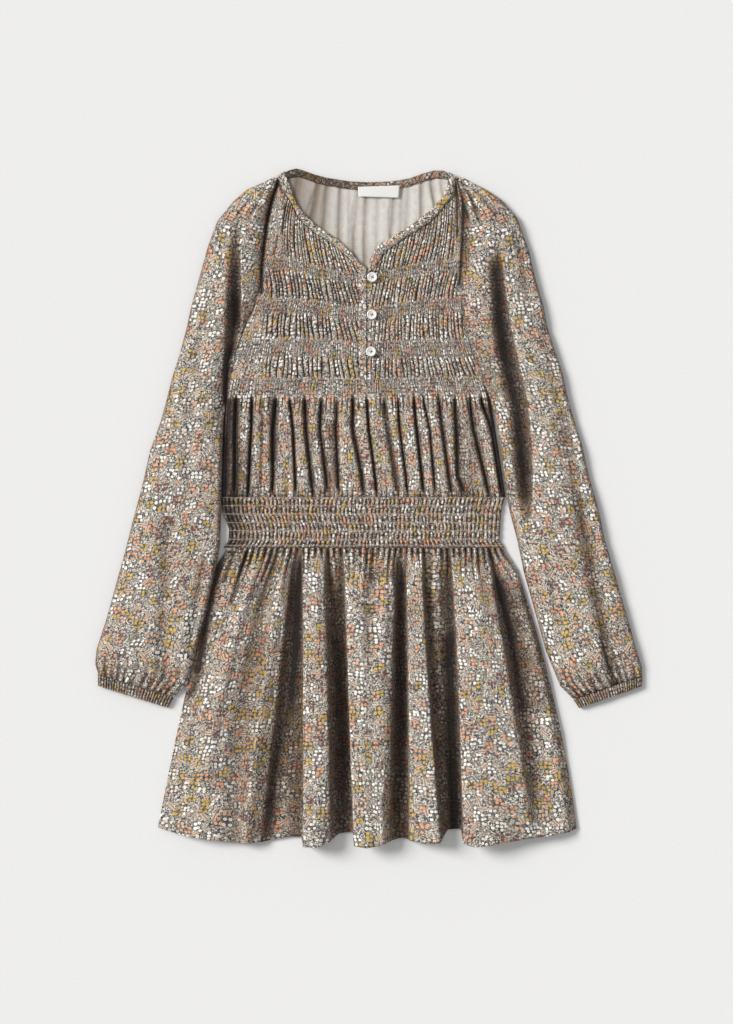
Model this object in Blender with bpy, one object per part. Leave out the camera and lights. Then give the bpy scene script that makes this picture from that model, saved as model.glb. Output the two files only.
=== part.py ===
"""A girl's ruched dress laid flat, front up, with every sewn piece its own solid.

Drawn in millimetres with x from the centre front and y up from the hem, and moved at the end
so that the origin is the middle of the dress on the surface it lies on. Left is the left hand
of someone looking down on the dress. Run it from Blender's text editor or in the background.
"""

import math

import bmesh
import bpy
import numpy as np
from mathutils import Matrix, Vector

MM = 0.001

# Driving dimensions, in millimetres
CLOTH = 1.2  # a back panel's wall
FRONT_REST = 1.6  # where the front panels' plain inside lies, just over the back
FRONT_WALL = 1.8  # a front panel's wall, measured straight up so that slopes keep 1 mm
SEAM = 0.4  # clearance between sewn pieces
WAIST_TOP_Y = 369.0
WAIST_LOW_Y = 315.0
SLIT_FOOT_Y = 484.0
SLIT_WIDTH = 0.8
PLACKET_WIDTH = 9.0
PLACKET_THICK = 3.1
NECK_TAPE = 8.4
BUTTON_DIAMETER = 10.5
BUTTON_THICK = 2.4
BUTTON_Y = (599.5, 560.0, 521.5)
BUTTON_X = 5.0
GATHERS_EACH_SIDE = 14  # in each tier of the yoke, either side of the slit
SHIRRING_ROWS = 6

# Side edges of the body from the shoulder to the waist seam, along the raglan seam above
# the armpit: y, left x, right x
BODY_EDGE = (
    (703, -92, 93),
    (690, -97, 95.5),
    (678, -101, 97.5),
    (663, -104.5, 99),
    (643, -108, 100),
    (620, -110, 99.5),
    (591, -113, 99.5),
    (567, -120, 101),
    (545, -130, 104.5),
    (521, -138, 111.5),
    (499, -143.5, 120.5),
    (477, -146.5, 127.5),
    (456, -147.5, 131),
    (419, -148, 137),
    (395, -147, 141),
    (369, -145, 145),
    (352, -144, 141),
    (335, -143, 140),
    (322, -146, 139.5),
    (315, -150, 145),
)
ARMPIT_ROW = 11  # the row of BODY_EDGE where the raglan seams end

# Sleeve edges below the armpit and all the way along its folded outer edge: x, y
SLEEVE_INNER = {
    "left": (
        (-151, 449), (-152, 418), (-153, 383), (-154, 353), (-155, 318),
        (-160, 296), (-169, 256), (-181, 208), (-189, 173), (-203, 158.5),
    ),
    "right": (
        (136, 449), (140, 420), (144, 388), (149.5, 355), (158, 323),
        (166, 289), (178, 248), (189, 207), (203, 170), (216.5, 156.5),
    ),
}  # fmt: skip
SLEEVE_OUTER = {
    "left": (
        (-98, 705), (-110, 699), (-126, 692), (-141, 679), (-158, 658), (-168, 630), (-177, 597),
        (-185, 569), (-190, 545), (-197, 519), (-205, 494), (-211, 470), (-217, 448), (-228, 418),
        (-236, 382), (-246, 345), (-254, 313), (-262, 284), (-273, 244), (-284.5, 208),
        (-286, 193), (-283, 183),
    ),
    "right": (
        (100, 705), (111, 699), (125, 692), (140, 682), (158, 662), (170, 629), (178, 595),
        (185, 572), (190, 546), (199, 519), (206, 498), (210, 478), (217, 452), (226, 424),
        (234, 388), (243, 358), (250, 324), (260, 290), (272, 249), (283, 209),
        (289, 190), (289.5, 181),
    ),
}  # fmt: skip
# Cuff ends: inner corner and outer corner at the sleeve, then at the hand
CUFF_ENDS = {
    "left": (((-203.4, 157.7), (-283.2, 182.3)), ((-209, 147), (-283, 170))),
    "right": (((216.9, 155.7), (289.7, 180.3)), ((223, 146.5), (289, 169.5))),
}

# Neckline edges: x, y. The outer edge is where the binding meets the front bodice.
NECK_OUTER = (
    (-90.3, 700), (-89.5, 694), (-81.4, 681.5), (-73, 664.6), (-65.5, 655.2), (-52.5, 644.7),
    (-37.8, 636.3), (-28.4, 627.9), (-18.9, 619.5), (-11.6, 610.1), (-0.8, 603.8),
    (0.8, 603.8), (9, 609.5), (15, 621.6), (20.8, 629), (30.1, 634.2), (41, 642.6),
    (52.5, 649.3), (64, 656.8), (74.2, 666.1), (82.6, 677.2), (90.3, 686.7), (91.6, 700),
)  # fmt: skip
NECK_INNER_LEFT = (
    (-84.2, 709), (-81.4, 698), (-77.7, 685), (-70, 671), (-62.6, 663), (-50.5, 652.6),
    (-36, 643), (-25, 634.5), (-15.5, 625), (-8, 615.5), (-0.8, 609.5),
)  # fmt: skip
NECK_INNER_RIGHT = (
    (83, 709), (84.5, 695), (80.5, 685), (70, 672.5), (59, 663.5), (48, 655.5), (37, 648.5),
    (26.5, 641.5), (16, 636), (7.7, 627.5), (2.5, 616), (0.8, 609.5),
)  # fmt: skip
BACK_NECK_TOP = (
    (-81.5, 711), (-74.5, 714.5), (-68, 712.5), (-55.7, 708), (-43, 704.6), (-30.5, 702.5),
    (-17.9, 700.6), (0, 699.8), (19.9, 700.4), (32.6, 701.6), (45, 704), (57.8, 708.6),
    (70, 712), (80.5, 712),
)  # fmt: skip

# Rows of the front bodice from the waist up. Each smocked row crosses from seam to seam
# through the heights y0 to y4, at even spacing. puff is how far the gathers stand up there,
# rise the height of the smocked bands between their stitched rows.
YOKE_ROWS = (
    # y0, y1, y2, y3, y4, puff, rise
    (369.4, 369.4, 369.4, 369.4, 369.4, 0.25, 0.0),
    (378, 378, 378, 378, 378, 0.8, 0.0),
    (396, 396, 396, 396, 396, 1.0, 0.0),
    (419, 419, 419, 419, 419, 1.0, 0.0),
    (443, 443, 443, 443, 443, 1.0, 0.0),
    (463, 463, 463, 463, 463, 0.9, 0.0),
    (474, 474, 474, 475, 475, 0.7, 0.0),
    (479, 479, 479, 480, 481, 0.1, 0.0),
    (483, 483, 483, 484, 485, 0.1, 0.9),
    (487, 487, 487, 488, 489, 0.1, 0.0),
    (491, 491, 491, 492, 493, 0.1, 0.9),
    (495, 495, 495, 496, 497, 0.1, 0.0),
    (500, 501, 500, 501, 501, 0.9, 0.0),
    (508, 510, 506, 509, 508, 0.9, 0.0),
    (516.5, 518.5, 513.5, 516.5, 516.5, 0.1, 0.0),
    (520.5, 523, 518, 520.5, 520.5, 0.1, 0.9),
    (524.5, 527, 522, 524.7, 525, 0.1, 0.0),
    (528.5, 531, 526, 529, 529, 0.1, 0.9),
    (533, 535, 530, 533, 533, 0.1, 0.0),
    (541, 543, 537, 541, 543, 0.9, 0.0),
    (555, 556, 546, 553, 557, 0.9, 0.0),
    (563, 562, 553.5, 560.5, 564, 0.1, 0.0),
    (566, 565.3, 556.7, 563.5, 567, 0.1, 0.8),
    (569.5, 568.7, 560, 566.8, 570.5, 0.1, 0.0),
    (573, 572, 563.3, 570, 574, 0.1, 0.8),
    (577, 575.3, 566.6, 573.3, 577, 0.1, 0.0),
    (588, 583, 575, 583, 587, 0.9, 0.0),
    (603, 594, 586, 594, 599, 0.9, 0.0),
    (613, 602, 593.5, 602, 609, 0.1, 0.0),
    (617, 606, 597.3, 606, 613.5, 0.1, 0.8),
    (621, 610, 601, 610, 618, 0.1, 0.0),
)
TOP_TIER_ROWS = 3  # from the last smocked row up to the binding

# Ridges and valleys across the lower bodice: x at the waist seam, x under the yoke, height
# from 0, a valley, to 1, the crest of a fold
BODICE_FOLDS = (
    (-145, -147, 0.0), (-133, -142, 0.2), (-108, -128, 1.0), (-98, -121, 0.1), (-86, -112, 0.9),
    (-76, -103, 0.0), (-70, -89, 1.0), (-58, -65, 0.0), (-47, -57, 0.8), (-42, -49, 0.3),
    (-37, -43, 0.6), (-31, -33, 0.1), (-21, -24, 1.0), (-7, -13, 0.3), (1, -5, 0.8),
    (8, 1, 0.2), (20, 9, 0.9), (30, 22, 0.2), (42, 32, 1.0), (55, 46, 0.3), (62, 60, 0.9),
    (71, 66, 0.2), (80, 71, 0.7), (87, 76, 0.1), (96, 85, 0.6), (102, 92, 0.0), (112, 101, 1.0),
    (124, 108, 0.1), (131, 116, 0.8), (138, 121, 0.3), (145, 127, 0.0),
)  # fmt: skip

# Folds of the skirt front from its left edge to its right: x at the waist, at half height
# and at the hem, then the height of the cloth there
SKIRT_FOLDS = (
    # waist x, middle x, hem x, waist z, middle z, hem z
    (-150, -175, -220, 3.4, 3.4, 3.4),
    (-114, -141, -172, 6.0, 8.0, 9.0),
    (-96, -121, -133, 3.6, 5.5, 7.5),
    (-85, -99, -121, 6.0, 8.5, 8.5),
    (-75, -80, -93, 3.4, 3.4, 3.4),
    (-56, -60, -64, 7.0, 12.0, 13.0),
    (-40, -33, -37, 3.4, 3.4, 3.4),
    (-34, -28, -32, 4.8, 4.0, 3.8),
    (-6, -12, -12, 8.0, 13.5, 14.5),
    (6, 1, 3, 5.0, 11.5, 13.8),
    (22, 18, 18, 7.0, 12.5, 13.0),
    (35, 34, 30, 3.6, 7.0, 8.0),
    (48, 50, 59, 7.0, 11.0, 12.0),
    (63, 67, 80, 3.4, 3.4, 3.4),
    (72, 75, 84, 5.0, 5.0, 3.6),
    (80, 83, 88, 3.4, 3.4, 3.4),
    (105, 112, 117, 8.0, 13.0, 14.0),
    (129, 151, 167, 4.4, 6.5, 9.0),
    (139, 165, 192, 5.5, 7.5, 10.0),
    (145, 180, 220, 3.4, 3.4, 3.4),
)
SKIRT_MIDDLE_Y = 218.0
COLUMNS_PER_FOLD = 4
SKIRT_ROW_Y = (0, 28, 62, 105, 150, 200, 240, 270, 291, 304, 315)
SEAM_GATHER = 0.7  # the small gathers along the waist seam

# The scalloped hem: x, y
HEM = (
    (-220, 20), (-203, 16), (-177, 10), (-146, 6), (-108, 6), (-83, 12), (-70, 10), (-64, 1),
    (-45, 4), (-33, 14), (-20, 15), (-14, 3), (12, 3), (37, 9), (49, 7), (62, 5), (75, 6),
    (87, 20), (93, 19), (100, 5), (125, 3), (156, 8), (188, 13), (220, 20),
)  # fmt: skip

# Creases pressed into the sleeves: side, half width, depth, then the route as x, y
SLEEVE_CREASES = (
    ("left", 7, 3.2, ((-142, 650), (-143, 545), (-151, 480))),
    ("left", 7, 1.6, ((-187, 480), (-186, 390))),
    ("left", 8, 2.2, ((-209, 325), (-214, 218), (-212, 168))),
    ("left", 5, 2.0, ((-255, 212), (-280, 180))),
    ("left", 4, 2.0, ((-243, 205), (-250, 175))),
    ("right", 6, 4.6, ((127, 620), (146, 500), (157, 418), (162, 340))),
    ("right", 7, 1.6, ((202, 455), (208, 385))),
    ("right", 7, 2.2, ((223, 370), (229, 313), (241, 245), (262, 178))),
    ("right", 4, 2.0, ((266, 200), (271, 172))),
    ("right", 4, 1.4, ((98, 699), (128, 655))),
    ("right", 4, 1.4, ((106, 699), (150, 664))),
)
SLEEVE_CROWN = (4.6, 6.2, 7.6, 8.8, 9.6, 10.0)  # height of the upper layer, from the neck down
SLEEVE_EDGE_RADIUS = 4.0
SLEEVE_SEAM_Z = 3.4
CUFF_CROWN = 6.4
CUFF_FLUTE = 0.5


def at(table, place, column=1):
    """Read a column of a table of rows at a place along its first column."""
    rows = sorted(table)
    return float(np.interp(place, [row[0] for row in rows], [row[column] for row in rows]))


def along(route, share):
    """The point a share of the way along a route of points."""
    legs = [math.dist(start, end) for start, end in zip(route, route[1:])]
    reach = np.concatenate(([0.0], np.cumsum(legs))) / sum(legs)
    return tuple(float(np.interp(share, reach, [point[axis] for point in route])) for axis in (0, 1))


def smooth(value):
    """Ease from 0 to 1."""
    value = min(max(value, 0.0), 1.0)
    return value * value * (3.0 - 2.0 * value)


def uneven(first, second):
    """A fixed scatter between 0 and 1, so that no two gathers are alike."""
    return 0.5 + 0.5 * math.sin(12.9 * first + 4.1 * second + 1.7 * math.sin(2.3 * first + second))


def material(name, colour, roughness):
    made = bpy.data.materials.new(name)
    made.use_nodes = True
    shader = made.node_tree.nodes["Principled BSDF"]
    shader.inputs["Base Color"].default_value = (*colour, 1.0)
    shader.inputs["Roughness"].default_value = roughness
    shader.inputs["Metallic"].default_value = 0.0
    return made


def node(name, bm, finish):
    """Turn a bmesh drawn in millimetres into a named object in metres."""
    bmesh.ops.recalc_face_normals(bm, faces=bm.faces)
    if bm.calc_volume(signed=True) < 0:
        bmesh.ops.reverse_faces(bm, faces=bm.faces)
    bmesh.ops.scale(bm, vec=(MM, MM, MM), verts=bm.verts)
    mesh = bpy.data.meshes.new(name)
    bm.to_mesh(mesh)
    bm.free()
    mesh.materials.append(finish)
    made = bpy.data.objects.new(name, mesh)
    bpy.context.collection.objects.link(made)
    return made


def cloth(name, columns, rows, inside, outside, finish, plain_inside=True, slit=None):
    """A cut piece of cloth: a grid pulled into a wall, with its inside and outside surfaces.

    inside and outside give the place of a column and row. A plain inside is one flat face.
    slit is the column left out above a row.
    """
    bm = bmesh.new()
    bmesh.ops.create_grid(bm, x_segments=columns, y_segments=rows, size=0.5)
    if slit:
        column, first_row = slit
        gap = [
            face for face in bm.faces
            if int((face.calc_center_median().x + 0.5) * columns) == column
            and int((face.calc_center_median().y + 0.5) * rows) >= first_row
        ]
        bmesh.ops.delete(bm, geom=gap, context="FACES")
    bmesh.ops.triangulate(bm, faces=bm.faces)
    under = list(bm.verts)
    grown = bmesh.ops.extrude_face_region(bm, geom=bm.faces[:])["geom"]
    over = [part for part in grown if isinstance(part, bmesh.types.BMVert)]
    for verts, place in ((under, inside), (over, outside)):
        for vert in verts:
            column = round((vert.co.x + 0.5) * columns)
            row = round((vert.co.y + 0.5) * rows)
            vert.co = place(column, row)
    if plain_inside:
        kept = set(under)
        flat = [edge for edge in bm.edges if edge.verts[0] in kept and edge.verts[1] in kept]
        bmesh.ops.dissolve_limit(bm, angle_limit=0.001, verts=under, edges=flat)
    return node(name, bm, finish)


def body_edges(y):
    return at(BODY_EDGE, y, 1), at(BODY_EDGE, y, 2)


# Front bodice
HALF_COLUMNS = 2 * GATHERS_EACH_SIDE
BODICE_WALL = 1.3  # the wall in the valleys
PUFF_HEIGHT = 1.7  # how far a full puff stands above them
TOP_TIER_PUFF = 0.9
BINDING_PUFF = 0.4  # where the top tier goes under the binding
LOWER_ROWS = 6  # rows of YOKE_ROWS below the lowest smocked band
CREST_SHARE = 0.15  # how much of a lower fold's height the gathers add
PUFF_SPREAD = 0.3  # how unequal the puffs are
SMOCK_ROWS = len(YOKE_ROWS)
FRONT_ROWS = SMOCK_ROWS - 1 + TOP_TIER_ROWS
SLIT_ROW = next(row for row, heights in enumerate(YOKE_ROWS) if heights[2] >= SLIT_FOOT_Y)


def across_body(column, left, right):
    """x of a column between two side edges, with one narrow column for the slit."""
    if column <= HALF_COLUMNS:
        return left + (-SLIT_WIDTH / 2 - left) * column / HALF_COLUMNS
    return SLIT_WIDTH / 2 + (right - SLIT_WIDTH / 2) * (column - HALF_COLUMNS - 1) / HALF_COLUMNS


def row_height(heights, column):
    return float(np.interp(column / (2 * HALF_COLUMNS + 1), np.linspace(0, 1, 5), heights[:5]))


def front_plan(column, row):
    """Plan place of a grid point of the front bodice."""
    heights = YOKE_ROWS[min(row, SMOCK_ROWS - 1)]
    left, right = body_edges(heights[0])[0], body_edges(heights[4])[1]
    x = across_body(column, left + SEAM, right - SEAM)
    y = row_height(heights, column)
    if row < SMOCK_ROWS:
        return x, y
    share = (row - SMOCK_ROWS + 1) / TOP_TIER_ROWS
    top_x = across_body(column, NECK_OUTER[1][0], NECK_OUTER[-2][0])
    top_y = min(at(NECK_OUTER, top_x + aside) for aside in (-2 * SEAM, 0, 2 * SEAM)) - SEAM
    return x + (top_x - x) * share, y + (top_y - y) * share


def fold_height(x, y):
    """Height, from 0 to 1, of the long folds between the yoke and the waist."""
    share = (y - WAIST_TOP_Y) / (YOKE_ROWS[LOWER_ROWS][0] - WAIST_TOP_Y)
    share = min(max(share, 0.0), 1.0)
    folds = [(waist + (yoke - waist) * share, height) for waist, yoke, height in BODICE_FOLDS]
    return at(folds, x)


def bodice_outside(column, row):
    x, y = front_plan(column, row)
    crest = column % 2 if column <= HALF_COLUMNS else (column + 1) % 2
    if row < SMOCK_ROWS:
        puff, rise = YOKE_ROWS[row][5:]
    else:
        puff, rise = (TOP_TIER_PUFF if row < FRONT_ROWS else BINDING_PUFF), 0.0
    if row <= LOWER_ROWS:
        gather = fold_height(x, y) * (1 - CREST_SHARE + CREST_SHARE * crest)
    else:
        gather = crest * (1 - PUFF_SPREAD + PUFF_SPREAD * uneven(column, row // 5))
    z = FRONT_REST + BODICE_WALL + PUFF_HEIGHT * puff * gather + rise
    on_placket = -PLACKET_WIDTH < x <= 0 and row > SLIT_ROW
    return x, y, (FRONT_REST + PLACKET_THICK if on_placket else z)


def bodice_inside(column, row):
    return (*front_plan(column, row), FRONT_REST)


def build_bodice_front(finish):
    slit = (HALF_COLUMNS, SLIT_ROW)
    cloth(
        "bodice_front", 2 * HALF_COLUMNS + 1, FRONT_ROWS, bodice_inside, bodice_outside, finish, slit=slit
    )


# Back bodice
BACK_COLUMNS = 32
BACK_ROW_Y = (WAIST_TOP_Y + SEAM, *(row[0] for row in BODY_EDGE[14:0:-1]))
NECK_GATHER = 0.3  # low enough to stay clear of the front's binding above it
BACK_SHOULDERS = ((-91.5, 699.5), (92.5, 699.5))  # the back's upper corners
SHOWN_HALF_WIDTH = 78.0  # the part of the back seen inside the neck
SHOWN_ABOVE_EDGE = 14.0


def back_plan(column, row):
    share = column / BACK_COLUMNS
    if row < len(BACK_ROW_Y):
        y = BACK_ROW_Y[row]
        left, right = body_edges(y)
    else:
        left, right = BACK_SHOULDERS[0][0], BACK_SHOULDERS[1][0]
    x = left + SEAM / 2 + (right - left - SEAM) * share
    if row == len(BACK_ROW_Y):
        middle = [(top_x, top_y - NECK_TAPE) for top_x, top_y in BACK_NECK_TOP]
        y = at([BACK_SHOULDERS[0], *middle, BACK_SHOULDERS[1]], x) - 3 * SEAM
    return x, y


def back_outside(column, row):
    x, y = back_plan(column, row)
    inside_neck = abs(x) < SHOWN_HALF_WIDTH and y > at(NECK_OUTER, x) + SHOWN_ABOVE_EDGE
    shown = inside_neck and row < len(BACK_ROW_Y)
    return x, y, CLOTH + (NECK_GATHER if shown and column % 2 else 0.0)


def back_inside(column, row):
    return (*back_plan(column, row), 0.0)


def build_bodice_back(finish):
    cloth("bodice_back", BACK_COLUMNS, len(BACK_ROW_Y), back_inside, back_outside, finish)


# Shirred waist
WAIST_COLUMNS = 12
WAIST_RIB = 1.1
WAIST_WALL = 1.4  # the wall along a row of stitches
WAIST_BACK_ROWS = 4
RIB_SPREAD = 0.25  # how unequal the ribs are


def waist_plan(column, row, rows):
    low, high = WAIST_LOW_Y + SEAM / 2, WAIST_TOP_Y - SEAM / 2
    y = low + (high - low) * row / rows
    left, right = body_edges(y)
    return left + (right - left) * column / WAIST_COLUMNS, y


def build_waistbands(finish):
    rows = 2 * SHIRRING_ROWS

    def outside(column, row):
        rib = WAIST_RIB * (row % 2) * (1 - RIB_SPREAD + RIB_SPREAD * uneven(column, row))
        return (*waist_plan(column, row, rows), FRONT_REST + WAIST_WALL + rib)

    cloth(
        "waistband_front", WAIST_COLUMNS, rows,
        lambda column, row: (*waist_plan(column, row, rows), FRONT_REST), outside, finish,
    )  # fmt: skip
    cloth(
        "waistband_back", WAIST_COLUMNS, WAIST_BACK_ROWS,
        lambda column, row: (*waist_plan(column, row, WAIST_BACK_ROWS), 0.0),
        lambda column, row: (*waist_plan(column, row, WAIST_BACK_ROWS), CLOTH), finish,
    )  # fmt: skip


# Gathered skirt
GATHER_START_Y = 285.0  # the small gathers grow from here up to the seam
GATHER_GROWTH = 22.0
SEAM_FLATTENING = 0.5  # how much lower the folds are at the seam
SKIRT_BACK_COLUMNS = 12


def through(y, waist, middle, hem):
    """A smooth line through its places at the waist seam, half height and the hem."""
    rise = (y - SKIRT_MIDDLE_Y) / WAIST_LOW_Y
    ends = (WAIST_LOW_Y - SKIRT_MIDDLE_Y) / WAIST_LOW_Y, -SKIRT_MIDDLE_Y / WAIST_LOW_Y
    slope_up, slope_down = (waist - middle) / ends[0], (hem - middle) / ends[1]
    bend = (slope_up - slope_down) / (ends[0] - ends[1])
    return middle + rise * (slope_up + bend * (rise - ends[0]))


def skirt_point(place, row_y):
    """Plan place and height of the skirt front; place counts the folds from the left."""
    first = min(int(place), len(SKIRT_FOLDS) - 2)
    share = place - first
    before, after = SKIRT_FOLDS[first], SKIRT_FOLDS[first + 1]
    x_before, x_after = through(row_y, *before[:3]), through(row_y, *after[:3])
    z_before, z_after = through(row_y, *before[3:]), through(row_y, *after[3:])
    x = x_before + (x_after - x_before) * share
    z = z_before + (z_after - z_before) * (1 - math.cos(math.pi * share)) / 2
    down = 1 - row_y / WAIST_LOW_Y
    y = row_y - SEAM / 2 * (1 - down) + at(HEM, x) * down**2
    return x, y, max(z, FRONT_REST + FRONT_WALL)


def build_skirt(finish):
    columns = COLUMNS_PER_FOLD * (len(SKIRT_FOLDS) - 1)

    def outside(column, row):
        x, y, z = skirt_point(column / COLUMNS_PER_FOLD, SKIRT_ROW_Y[row])
        near_seam = smooth((y - GATHER_START_Y) / GATHER_GROWTH)
        ripple = SEAM_GATHER * near_seam * (1 - math.cos(math.pi * column / 2)) / 2
        lowered = 1 - SEAM_FLATTENING * near_seam
        floor = FRONT_REST + FRONT_WALL
        return x, y, floor + (z - floor) * lowered + ripple

    def inside(column, row):
        x, y, z = outside(column, row)
        return x, y, z - FRONT_WALL

    cloth("skirt_front", columns, len(SKIRT_ROW_Y) - 1, inside, outside, finish, plain_inside=False)

    def back(z):
        def place(column, row):
            fold = column * (len(SKIRT_FOLDS) - 1) / SKIRT_BACK_COLUMNS
            x, y, _ = skirt_point(fold, SKIRT_ROW_Y[row])
            return x, y, z

        return place

    cloth("skirt_back", SKIRT_BACK_COLUMNS, len(SKIRT_ROW_Y) - 1, back(0.0), back(CLOTH), finish)


# Sleeves and cuffs
OVER_COLUMNS = 14  # across the upper layer of a sleeve or cuff
UNDER_COLUMNS = 6
TUBE_MIDDLE_Z = 3.0  # where the upper and lower layer meet at a rolled edge
TUBE_SHOULDER_Z = 6.5  # the upper layer just inside the rolled edge
TUBE_SHOULDER_SHARE = 0.75  # or this much of the crown, if that is lower
TUBE_FLATNESS = 2.6  # a higher power gives a flatter top
UPPER_WALL = 1.5
CROWN_DROP = 0.7  # each of the last two rows of a sleeve comes down by this
CUFF_DROP = 0.6


def crease_depth(side, x, y):
    """How far the creases of a sleeve press its upper layer down at a place."""
    depth = 0.0
    for crease_side, half_width, deep, route in SLEEVE_CREASES:
        if crease_side != side:
            continue
        nearest = min(math.dist((x, y), along(route, share / 12)) for share in range(13))
        depth += deep * math.exp(-((nearest / half_width) ** 2))
    return depth


def round_off(distance, radius):
    """Rise of a rolled edge: 0 on the edge and 1 beyond its radius."""
    reach = min(max(distance / radius, 0.0), 1.0)
    return math.sqrt(max(0.0, 1.0 - (1.0 - reach) ** 2))


def flat_tube(side, stations):
    """Two surfaces of a tube of cloth pressed flat, open along its seam by a hair.

    Each station has its inner point, outer point, crown height, seam height, how far the seam
    is closed, from 0 to 1, and the flute height. Columns run out over the upper layer, round
    the fold and back under it.
    """

    def place(column, row, lining):
        inner, outer, crown, seam_z, closed, flute = stations[row]
        width = math.dist(inner, outer)
        turn = column - OVER_COLUMNS
        step = column / OVER_COLUMNS if turn <= 0 else 1 - turn / UNDER_COLUMNS
        share = step if flute else (1 - math.cos(math.pi * step)) / 2
        start = CLOTH * closed if lining else 0.0
        reach = width - (CLOTH if lining else 0.0)
        distance = start + (reach - start) * share
        radius = min(SLEEVE_EDGE_RADIUS, 0.45 * width)
        if lining:
            radius -= CLOTH
        at_seam = 1 - closed + closed * round_off(distance - start, radius)
        rolled = at_seam * round_off(reach - distance, radius)
        x, y = (inner[axis] + (outer[axis] - inner[axis]) * distance / width for axis in (0, 1))
        middle = min(TUBE_MIDDLE_Z, crown / 2)
        gap = SEAM / 2 * closed
        if turn <= 0:
            shoulder = min(TUBE_SHOULDER_Z, TUBE_SHOULDER_SHARE * crown)
            edge = seam_z + (shoulder - seam_z) * max(share, closed)
            top = edge + (crown - edge) * (1 - abs(2 * share - 1) ** TUBE_FLATNESS)
            top += flute * (column % 2)
            top = max(top - crease_depth(side, x, y), FRONT_REST + FRONT_WALL)
            if lining:
                top -= UPPER_WALL
            z = middle + (top - middle) * rolled
            if column == 0:
                z += gap
        else:
            low = CLOTH if lining else 0.0
            z = middle - (middle - low) * rolled
            if turn == UNDER_COLUMNS:
                z -= gap
        return x, y, z

    return (
        lambda column, row: place(column, row, True),
        lambda column, row: place(column, row, False),
    )


def build_sleeve(side, finish):
    edge = 1 if side == "left" else 2
    outward = -SEAM / 2 if side == "left" else SEAM / 2
    seam = [(row[edge] + outward, row[0]) for row in BODY_EDGE[: ARMPIT_ROW + 1]]
    inner_points = seam + list(SLEEVE_INNER[side])
    stations = []
    for row, (inner, outer) in enumerate(zip(inner_points, SLEEVE_OUTER[side])):
        below = row - ARMPIT_ROW
        closed = smooth(below / 2)
        crown = SLEEVE_CROWN[min(row, len(SLEEVE_CROWN) - 1)]
        to_cuff = len(inner_points) - 1 - row
        crown -= CROWN_DROP * max(0, 2 - to_cuff)
        stations.append((inner, outer, crown, SLEEVE_SEAM_Z, closed, 0.0))
    inside, outside = flat_tube(side, stations)
    columns = OVER_COLUMNS + UNDER_COLUMNS
    cloth(f"sleeve_{side}", columns, len(stations) - 1, inside, outside, finish, plain_inside=False)


def build_cuff(side, finish):
    (start_in, start_out), (end_in, end_out) = CUFF_ENDS[side]
    middle = [tuple((a + b) / 2 for a, b in zip(*pair)) for pair in ((start_in, end_in), (start_out, end_out))]
    ends = ((start_in, start_out), middle, (end_in, end_out))
    stations = [
        (inner, outer, CUFF_CROWN - CUFF_DROP * abs(row - 1), SLEEVE_SEAM_Z, 1.0, CUFF_FLUTE)
        for row, (inner, outer) in enumerate(ends)
    ]
    inside, outside = flat_tube("cuff", stations)
    columns = OVER_COLUMNS + UNDER_COLUMNS
    cloth(f"cuff_{side}", columns, len(stations) - 1, inside, outside, finish, plain_inside=False)


# Neck binding
TAPE_TOP = 5.6
BACK_TAPE_TOP = 3.6
TAPE_SHAPE = (0.72, 0.95, 1.0, 0.95, 0.72)  # height across the folded tape


def build_tape(name, outer, inner, low, high, finish):
    """A length of folded tape between its two edges, which pair off point by point."""

    def place(column, row, top):
        outer_point, inner_point = outer[column], inner[column]
        share = row / (len(TAPE_SHAPE) - 1)
        x, y = (outer_point[axis] + (inner_point[axis] - outer_point[axis]) * share for axis in (0, 1))
        return x, y, (low + (high - low) * TAPE_SHAPE[row] if top else low)

    cloth(
        name, len(outer) - 1, len(TAPE_SHAPE) - 1,
        lambda column, row: place(column, row, False),
        lambda column, row: place(column, row, True), finish,
    )  # fmt: skip


def build_binding(finish):
    left = [point for point in NECK_OUTER if point[0] < 0]
    right = [point for point in reversed(NECK_OUTER) if point[0] > 0]
    build_tape("neck_binding_left", left, NECK_INNER_LEFT, FRONT_REST, TAPE_TOP, finish)
    build_tape("neck_binding_right", right, NECK_INNER_RIGHT, FRONT_REST, TAPE_TOP, finish)
    low_edge = [(x, y - NECK_TAPE) for x, y in BACK_NECK_TOP]
    build_tape("neck_binding_back", low_edge, BACK_NECK_TOP, 0.0, BACK_TAPE_TOP, finish)


# Buttons, loops and label
LOOP_RADIUS = 0.7
LOOP_Z = 5.7
LOOP_START_X = -3.0  # on the placket, left of the slit
LOOP_REACH = 9.5
LOOP_HALF_HEIGHT = 3.2
LOOP_TURNS = 8
BUTTON_Z = 6.8
HOLE_RADIUS = 0.7
HOLE_SPACING = 2.2
HOLE_SIDES = 6
BUTTON_SIDES = 20
BUTTON_EDGE = 0.8  # how far the upper edge is rounded
DRILL_OVERSHOOT = 1.0
LABEL_CORNERS = ((-9, 684.5), (33.5, 683), (34.5, 696), (-9.5, 694.5))
LABEL_Z = 3.9
LABEL_THICK = 0.6


def disc(bm, radius, height, x, y, z, sides):
    """An upright cylinder standing on z."""
    where = Matrix.Translation((x, y, z + height / 2))
    bmesh.ops.create_cone(
        bm, cap_ends=True, segments=sides, radius1=radius, radius2=radius, depth=height, matrix=where
    )


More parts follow.
